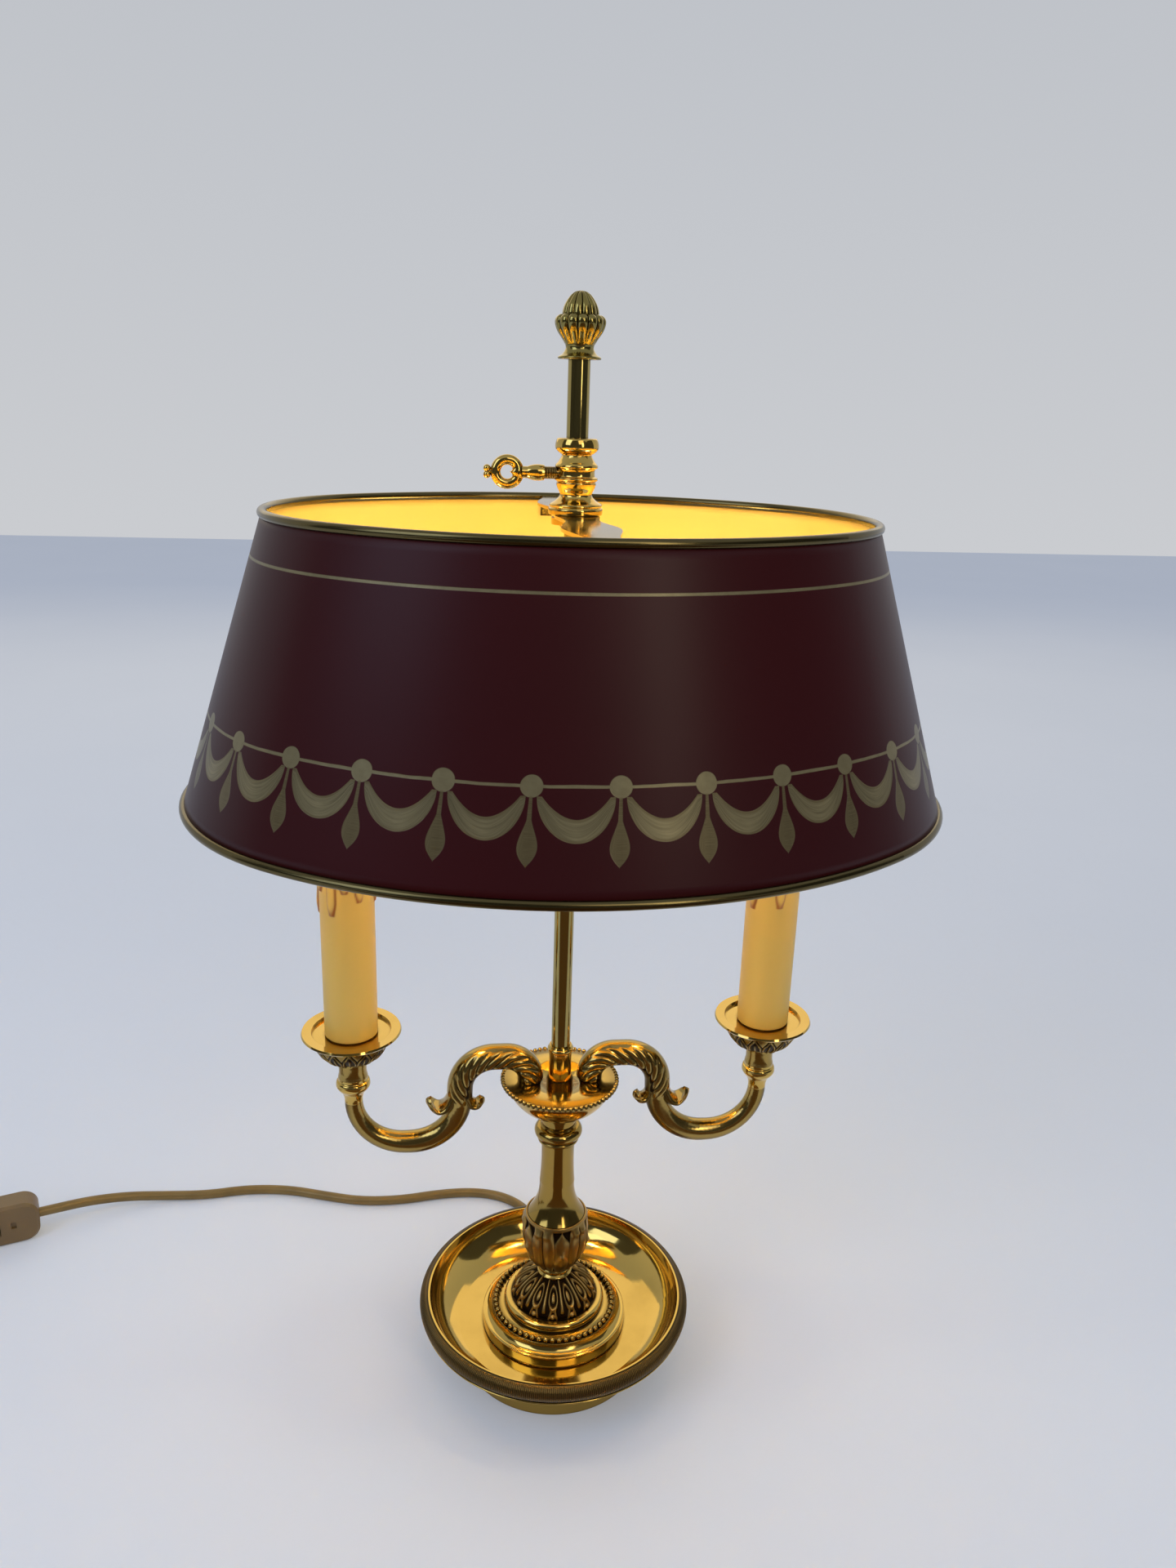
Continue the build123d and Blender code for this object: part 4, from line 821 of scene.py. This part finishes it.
def make_leaf_tip(name, stations, flip, material):
    """A curled, spoon-shaped leaf end.

    Its sections are (x, z, half thickness, half width) in radii of the tube, from where the leaf
    meets the lower bend."""
    root = (ARM_DIP_X, level("stem_ferrule") - ARM_CREST, 0, 0)
    line = smooth_line(np.array(stations) * ARM_R + root, 8)
    rows, around = len(line), 48
    inside = 1 if stations[-1][0] > 0 else -1
    angle = ring_angles(rows, around)
    across = np.sin(angle)
    share = np.linspace(0, 1, rows)[:, None]
    spoon = 1.9 * across ** 2 * soft_step(share, 0.35, 0.8) * inside
    rib = bell(across, 0, 0.16) + bell(np.abs(across), 0.62, 0.13)
    back = np.cos(angle) * inside < 0
    out = line[:, 2:3] * np.cos(angle) + spoon - 0.35 * rib * back * inside
    points = beside(line[:, :2], out, line[:, 3:4] * across)
    stain_and_shade = (1 - rib) * 0.55 * (1 - soft_step(share, 0.5, 0.9)) * back
    closed_tube(name, points, stain_and_shade, material, flip)


# --- thumb screw
THREAD_FROM = -14.6
THREAD_TO = -9.0
THREAD_PITCH = 0.8
THREAD_R = 2.72
THREAD_DEPTH = 0.16
BOW_CENTRE_IN = 10.8    # from the screw's outer end to the middle of its ring
BOW_WIRE_R = 2.3
BOW_HALF_DEPTH = 2.25
TONGUE_R = 0.9          # what the tongue adds to the wire
TONGUE_HALF_DEPTH = 0.2
TONGUE_REACH = 0.42     # radians round the ring


def make_screw_thread(material):
    """The thread that shows on the thumb screw between the collar and the screw's hub."""
    low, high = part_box("thumb_screw")
    axis_z = (low.z + high.z) / 2 / MM
    rows, around = 64, 32
    x = np.linspace(THREAD_FROM, THREAD_TO, rows)[:, None] * np.ones(around)
    angle = ring_angles(rows, around)
    wave = np.cos(2 * math.pi * x / THREAD_PITCH + angle)
    radius = THREAD_R + THREAD_DEPTH * wave
    points = np.stack([x, radius * np.sin(angle), axis_z + radius * np.cos(angle)], axis=2)
    stain_and_shade = 0.5 - 0.5 * wave
    caps = points[[0, -1]] * (1, 0, 0) + (0, 0, axis_z)
    rings = np.concatenate([caps[:1], points, caps[1:]]).reshape(-1, 3)
    flat = np.pad(stain_and_shade, ((1, 1), (0, 0)))
    piece("screw_thread", rings, grid_quads(rows + 2, around), material, "thumb_screw", stain_and_shade=flat)


def make_screw_bow(material):
    """The thumb screw's ring: thick, with a tongue that makes its hole heart-shaped."""
    low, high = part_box("thumb_screw")
    outer, axis_z = (high.z - low.z) / 2 / MM, (low.z + high.z) / 2 / MM
    centre_x = low.x / MM + BOW_CENTRE_IN
    rows, around = 96, 24
    turn = np.linspace(-math.pi, math.pi, rows, endpoint=False)[:, None] * np.ones(around)
    angle = ring_angles(rows, around)
    tongue = bell(turn, 0, TONGUE_REACH)
    wire = BOW_WIRE_R + TONGUE_R * tongue
    reach = outer - wire + wire * np.cos(angle)
    depth = (BOW_HALF_DEPTH + TONGUE_HALF_DEPTH * tongue) * np.sin(angle)
    points = np.stack([centre_x + reach * np.cos(turn), depth, axis_z + reach * np.sin(turn)], axis=2)
    quads = grid_quads(rows, around, wrap_rows=True)
    piece("screw_bow", points.reshape(-1, 3), quads, material, "thumb_screw")


def make_arm_end(side, material):
    """Turned end of an arm, with its ring, under the leaf socket."""
    profile = raised([(4.7, -15.4), (4.9, -12.5), (6.0, -9.4), (7.7, -7.2), (8.7, -5.6), (8.9, -4.2),
                      (8.5, -2.6), (7.6, -1.7), (7.6, 0)], level(f"socket_cup_{side}"))
    lathe(f"arm_end_{side}", profile, material, bore=3.0, middle=middle_x(f"candle_sleeve_{side}"))


# --- candles
def make_candle(side, material):
    """Sleeve with wax that has run down from its top."""
    node = f"candle_sleeve_{side}"
    low, tall, wide = extent(node)
    shift = 0.08 if side == "left" else 0.0
    # each run: place round the sleeve, length as a share of its height, half width round it
    runs = [(0.07, 0.25, 0.030), (0.16, 0.16, 0.035), (0.27, 0.29, 0.032), (0.37, 0.18, 0.040),
            (0.47, 0.22, 0.028), (0.575, 0.31, 0.034), (0.655, 0.17, 0.030), (0.75, 0.285, 0.030),
            (0.83, 0.16, 0.030), (0.915, 0.215, 0.026)]
    profile = [(wide - 0.6, low), (wide - 0.35, low + 0.3)]
    profile += [(wide - 0.35, low + tall * t) for t in np.linspace(0.02, 0.985, 110)]
    profile.append((wide - 0.9, low + tall))

    def relief(turn, share):
        lift = np.zeros_like(turn)
        edge = np.zeros_like(turn)
        for place, length, broad in runs:
            across = np.abs((turn - place + 0.5 + shift) % 1.0 - 0.5) / broad
            down = (1 - share) / length
            shape = across ** 2 + soft_step(down, 0.72, 1.0) * 0.75 + np.maximum(down - 1, 0) * 40
            body = np.clip(1 - shape, 0, 1)
            lift = np.maximum(lift, np.sqrt(body) * (0.6 + 0.5 * soft_step(down, 0.5, 0.95)))
            edge = np.maximum(edge, bell(shape, 0.9, 0.34) * (down < 1.05))
        return lift * 1.5, np.clip(edge, 0, 1)

    sleeve = lathe(f"wax_sleeve_{side}", profile, material, around=180, steps=1, relief=relief,
                   bore=wide - 1.1, middle=middle_x(node))
    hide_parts(node)


# --- shade
OVAL_END = 1.09         # radius of the oval's ends, over depth squared by length
SHADE_SHEET = 0.7
SHADE_TOP = (140, 110.6)    # half length and half depth at the top, for the border's pitch
SHADE_FLARE = (41.5, 32.8)  # how much longer and deeper the foot is
SHADE_FALL = (131.9, 37.2)  # how far the skin falls and how far it runs out, for its slant
SWAG_LINE = 0.666       # share of the way down to the line that the medallions hang on
SWAGS = 28
SWAG_SHIFT = -0.33      # in swags, round the shade


def oval_line(half_length, half_depth, count):
    """Points evenly spaced round a four-centred oval, starting at its back, and its length."""
    end_r = OVAL_END * half_depth ** 2 / half_length
    reach = half_length - end_r
    side_r = (reach ** 2 + half_depth ** 2 - end_r ** 2) / (2 * (half_depth - end_r))
    drop = side_r - half_depth
    turn = math.atan2(reach, drop)
    quarter = [(side_r * math.sin(a), side_r * math.cos(a) - drop) for a in np.linspace(0, turn, 60)]
    end = np.linspace(turn, math.pi / 2, 60)
    quarter = np.array(quarter + [(reach + end_r * math.sin(a), end_r * math.cos(a)) for a in end])
    loop = np.vstack([quarter, quarter[::-1] * (1, -1), quarter * (-1, -1), quarter[::-1] * (-1, 1)])
    lengths = lengths_along(loop)
    stations = np.arange(count) / count * lengths[-1]
    return np.stack([np.interp(stations, lengths, loop[:, i]) for i in (0, 1)], axis=1), lengths[-1]


def make_shade(outside, lining):
    """The painted sheet: one skin outside, one inside, closed at both rims."""
    low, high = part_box("shade_foot_bead"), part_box("shade_top_bead")
    bead = (low[1].z - low[0].z) / 2 / MM
    foot, top = low[0].z / MM + bead, high[1].z / MM - bead
    out = SHADE_SHEET / 2 - bead
    (a0, b0), (a1, b1) = [(box[1].x / MM + out, box[1].y / MM + out) for box in (high, low)]
    columns, rows = 448, 24
    points, shares = [], []
    for inset in (0.0, SHADE_SHEET):
        for t in np.linspace(0, 1, rows):
            share = t if inset == 0 else 1 - t
            ring, _ = oval_line(a0 + (a1 - a0) * share - inset, b0 + (b1 - b0) * share - inset, columns)
            points += [(x, y, top + (foot - top) * share) for x, y in ring]
            shares.append(share)
    quads = [quad[::-1] for quad in grid_quads(2 * rows, columns, wrap_rows=True)]
    uv = []
    for here, there in zip(shares, shares[1:] + shares[:1]):
        for c in range(columns):
            left, right = (i * SWAGS / columns + SWAG_SHIFT for i in (c, c + 1))
            uv += [(left, there), (right, there), (right, here), (left, here)]
    shade = piece("shade_skin", points, quads, outside, "shade", uv=uv)
    shade.data.materials.append(lining)
    for polygon in shade.data.polygons[(rows - 1) * columns:]:
        polygon.material_index = 1
    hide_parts("shade_shell")


# --- cord
CORD_R = 3.0
LIE = CORD_R + 0.05
SWITCH_AT = (-353.0, 113.4)
SWITCH_TURN = 18.4
SWITCH_L = 66.0
SWITCH_Z = 14.0
COIL_AT = (-383.0, 22.0)
COIL_MEAN_R = 33.0
COIL_LANES = 3
COIL_LAYERS = 2
COIL_EDGE_X = COIL_AT[0] - COIL_MEAN_R - (COIL_LANES - 1) * CORD_R
PLUG_Y = -28.0
PLUG_Z = 6.9
GLAND_Z = 7.2
RELIEF_END = 77.6


def switch_point(along):
    turn = math.radians(SWITCH_TURN)
    return (SWITCH_AT[0] + along * math.cos(turn), SWITCH_AT[1] + along * math.sin(turn), SWITCH_Z)


def supply_route():
    return [
        (0, RELIEF_END, GLAND_Z), (0, RELIEF_END + 12, GLAND_Z), (-2.5, 104, LIE),
        (-10, 120, LIE), (-24, 132, LIE), (-43, 137.5, LIE), (-66, 137, LIE), (-92, 132.5, LIE),
        (-119, 133.5, LIE), (-143, 141, LIE), (-168, 149.5, LIE), (-196, 152, LIE),
        (-222, 148, LIE), (-247, 148.5, 3.6), (-272, 146, 6.6), (-293, 138.5, 10.2),
        switch_point(SWITCH_L / 2 + 14), switch_point(SWITCH_L / 2),
    ]


def coil_turns():
    """The put-away length: lanes inward on the table, then outward on top of them."""
    points, per_turn = [], 16
    lanes = list(range(COIL_LANES))
    turns = [np.array((lane, layer)) for layer in range(COIL_LAYERS)
             for lane in (lanes if layer % 2 else lanes[::-1])]
    for turn, following in zip(turns, turns[1:] + turns[-1:]):
        for share in np.arange(per_turn) / per_turn:
            lane, layer = turn + (following - turn) * soft_step(share, 0.75, 1.0)
            radius = COIL_MEAN_R + (2 * lane - COIL_LANES + 1) * CORD_R
            angle = math.pi + 2 * math.pi * share
            points.append((COIL_AT[0] + radius * math.cos(angle), COIL_AT[1] + radius * math.sin(angle),
                           LIE + 2 * CORD_R * layer))
    return points


def lead_route():
    start = switch_point(-SWITCH_L / 2)
    return [
        start, switch_point(-SWITCH_L / 2 - 12), (start[0] - 28, start[1] - 13, 8.4),
        (start[0] - 35, start[1] - 28, 4.6), (COIL_EDGE_X - 1.0, start[1] - 44, LIE),
        (COIL_EDGE_X, COIL_AT[1] + 18, LIE),
    ]


def tail_route():
    top = LIE + 2 * CORD_R
    return [
        (COIL_EDGE_X, COIL_AT[1], top), (COIL_EDGE_X, COIL_AT[1] - 14, top),
        (COIL_EDGE_X - 0.6, PLUG_Y + 15, PLUG_Z), (COIL_EDGE_X - 0.6, PLUG_Y, PLUG_Z),
    ]


def cord_curve(name, points, material):
    data = bpy.data.curves.new(name, "CURVE")
    data.dimensions = "3D"
    data.bevel_depth = CORD_R * MM
    data.bevel_resolution = 5
    data.resolution_u = 6
    data.use_fill_caps = True
    spline = data.splines.new("NURBS")
    spline.points.add(len(points) - 1)
    for point, place in zip(spline.points, points):
        point.co = (*(c * MM for c in place), 1.0)
    spline.order_u = 3
    spline.use_endpoint_u = True
    data.materials.append(material)
    thing = add(name, data)
    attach(thing, "stand")
    return thing


def line_length(thing):
    """Length of a cord's own line, measured on the curve without its bevel."""
    bare = thing.copy()
    bare.data = thing.data.copy()
    bare.data.bevel_depth = 0
    mesh = bpy.data.meshes.new_from_object(bare)
    points = np.array([v.co for v in mesh.vertices])
    bpy.data.objects.remove(bare)
    bpy.data.meshes.remove(mesh)
    return float(np.linalg.norm(np.diff(points, axis=0), axis=1).sum())


def make_cords(material):
    supply = cord_curve("supply_cord", supply_route(), material)
    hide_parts("cord_supply")
    line_length(supply)
    rest = cord_curve("coiled_cord", lead_route() + coil_turns() + tail_route(), material)
    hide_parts("cord_lead", "cord_coil", "cord_tail")
    line_length(rest)


# --- stage and light
FLOOR_HALF = 4.0
FLOOR_PALE = 0.14       # how much paler the floor shows, to the camera and in reflections
CARD_REACH = 0.9        # half width of the dark card that lies before the lamp
CARD_LIFT = 0.002
BOOTH_HALF = 2.6        # half width of the dark booth round the viewer
BOOTH_Y = (-2.2, 0.1)   # its front and back edge
BOOTH_H = 2.6


def add_plain(name, points, faces, material):
    """A mesh that rides on nothing. points are in metres."""
    mesh = bpy.data.meshes.new(name)
    mesh.from_pydata(points, [], faces)
    mesh.materials.append(material)
    return add(name, mesh)


def make_stage():
    paint, _ = clouded("floor", 3.0, srgb(210, 216, 228), srgb(204, 211, 224))
    paint.set(Roughness=0.5, Specular_IOR_Level=0.0)
    rays = paint.node("LightPath")
    camera, glossy, through = (Val(paint.tree, rays.outputs[f"Is {kind} Ray"])
                               for kind in ("Camera", "Glossy", "Transmission"))
    paint.set(Emission_Color=srgb(222, 224, 230),
              Emission_Strength=camera.most(glossy).most(through) * FLOOR_PALE)
    corners = [(x * FLOOR_HALF, y * FLOOR_HALF, 0) for x, y in ((-1, -1), (1, -1), (1, 1), (-1, 1))]
    floor = add_plain("floor", corners, [(0, 1, 2, 3)], paint.material)


def make_cards():
    """Dark cards, as a studio has them for metalware: only reflections show them."""
    outline = [(0.055, -0.1), (0.13, -0.22), (CARD_REACH, -0.5), (CARD_REACH, -1.8)]
    lying = [(x, y, CARD_LIFT) for x, y in outline] + [(-x, y, CARD_LIFT) for x, y in outline[::-1]]
    front, back = BOOTH_Y
    plan = ((-BOOTH_HALF, back), (-BOOTH_HALF, front), (BOOTH_HALF, front), (BOOTH_HALF, back))
    booth = [(x, y, z) for x, y in plan for z in (0.0, BOOTH_H)]
    brown = plastic("lying_card", srgb(112, 80, 48), srgb(98, 70, 40), 0.8)
    grey = plastic("booth", srgb(92, 92, 90), srgb(84, 84, 82), 0.8)
    cards = [add_plain("lying_card", lying, [range(len(lying))], brown),
             add_plain("booth", booth, [(i, i + 1, i + 3, i + 2) for i in (0, 2, 4)], grey)]
    for card in cards:
        for ray in ("camera", "diffuse", "transmission", "volume_scatter", "shadow"):
            setattr(card, "visible_" + ray, False)


def make_world():
    """A plain pale room, a little darker overhead."""
    world = bpy.data.worlds.new("world")
    bpy.context.scene.world = world
    world.use_nodes = True
    tree = world.node_tree
    coordinate = tree.nodes.new("ShaderNodeTexCoord")
    split = tree.nodes.new("ShaderNodeSeparateXYZ")
    tree.links.new(coordinate.outputs["Generated"], split.inputs[0])
    height = Val(tree, split.outputs[2])
    sky = tree.nodes.new("ShaderNodeValToRGB")
    stops = ((0.45, srgb(202, 204, 208)), (0.95, srgb(172, 178, 188)))
    for element, (position, colour) in zip(sky.color_ramp.elements, stops):
        element.position = position
        element.color = colour
    tree.links.new((height * 0.5 + 0.5).socket, sky.inputs[0])
    tree.links.new(sky.outputs[0], tree.nodes["Background"].inputs["Color"])


def make_light(name, place, target, size, power, colour):
    data = bpy.data.lights.new(name, "AREA")
    data.shape = "RECTANGLE"
    data.size, data.size_y = size
    data.energy = power
    data.color = colour[:3]
    light = add(name, data)
    light.location = place
    light.rotation_euler = (Vector(target) - Vector(place)).to_track_quat("-Z", "Y").to_euler()
    light.visible_camera = False


# --- put it together
def paint_nodes(material, *names):
    for name in names:
        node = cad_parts[name]
        node.data.materials.clear()
        node.data.materials.append(material)


def both(name):
    return f"{name}_left", f"{name}_right"


make_camera()
make_cords(cord_sheath())

polished = brass("polished_brass", srgb(210, 176, 94), srgb(186, 150, 68), 0.10, relief=True)
# painted shade: a darker copy of the polished brass for the foot ring and the column
shaded_column_brass = brass("shaded_column_brass", srgb(168, 138, 70), srgb(144, 114, 54), 0.12, slot="polished_brass")
carved = brass("cast_brass", srgb(176, 148, 82), srgb(140, 113, 56), 0.17, shade_and_patina_colour=srgb(46, 32, 15),
               relief=True)
old_bronze = brass("old_bronze", srgb(170, 138, 78), srgb(134, 106, 56), 0.33, shade_and_patina_colour=srgb(42, 29, 16),
                   relief=True, slot="cast_brass")
olive_brass = brass("olive_brass", srgb(152, 136, 76), srgb(120, 104, 54), 0.16, shade_and_patina_colour=srgb(38, 32, 16),
                    relief=True, slot="cast_brass")
# painted shade: a darker, more olive copy of the polished brass for the stem rod
stem_brass = brass("stem_brass", srgb(170, 152, 92), srgb(142, 122, 68), 0.07)
bead_brass = brass("bead_brass", srgb(104, 92, 58), srgb(78, 68, 42), 0.22, grime=0.6)
bronze = plastic("bronze_plastic", srgb(122, 98, 62), srgb(104, 82, 50), 0.36)
nickel = plain_metal("nickel", srgb(190, 186, 176), 0.22)
iron = plain_metal("iron", srgb(60, 58, 56), 0.55)

paint_nodes(shaded_column_brass, "foot_ring", "column_neck", "column_capital")
paint_nodes(polished, "base_dish", "throat_ring", "hub_bowl", "stem_ferrule", "collar_locknut",
            "thumb_screw", "carrier_bar", "bar_rivets", *both("drip_pan"))
paint_nodes(stem_brass, "stem_rod")
paint_nodes(bead_brass, "shade_top_bead", "shade_foot_bead")
paint_nodes(bronze, "cord_gland", "switch_front", "switch_back", "switch_rocker", "plug_body")
paint_nodes(nickel, "plug_pins", "base_washer", "clamp_nuts", "tie_rod", "arm_nuts", *both("cup_nipple"),
            *both("bulb_cap"))
paint_nodes(iron, "base_weight")
paint_nodes(felt(), "base_felt")
paint_nodes(plastic("holder", srgb(226, 218, 200), srgb(214, 204, 184), 0.5), *both("lampholder"))
paint_nodes(plastic("lead_sleeve", srgb(190, 186, 172), srgb(170, 166, 150), 0.6), "inner_lead")
paint_nodes(bulb_light(), *both("bulb_glass"))

make_rim_band(reeded_brass(), polished)
make_pearl_rings(carved, polished)
make_leaf_dome(old_bronze)
make_leaf_cup(old_bronze)
make_finial(olive_brass)
make_collar(polished)
make_screw_thread(carved)
make_screw_bow(polished)
wax = candle_wax()
for side in ("left", "right"):
    make_socket_cup(side, carved)
    make_arm(side, carved, polished)
    make_candle(side, wax)

swag_oval = [top + flare * SWAG_LINE for top, flare in zip(SHADE_TOP, SHADE_FLARE)]
pitch = oval_line(*swag_oval, 8)[1] / SWAGS
make_shade(shade_paint(pitch, math.hypot(*SHADE_FALL), SWAG_LINE), shade_lining())

make_stage()
make_cards()
make_world()
make_light("window", (-1.5, -1.0, 1.5), (0, 0, 0.3), (1.0, 1.4), 11, srgb(206, 224, 255))
make_light("front", (0.5, -1.7, 1.6), (0, 0, 0.4), (0.9, 0.9), 4, srgb(255, 246, 232))
make_light("strip", (0.62, -1.35, 0.85), (0, 0, 0.3), (0.22, 0.7), 2.2, srgb(255, 244, 220))
make_light("bounce", (0, 1.9, 1.5), (0, 0, 0.2), (3.4, 1.5), 12, srgb(255, 232, 182))
bpy.context.scene.view_settings.view_transform = "Standard"
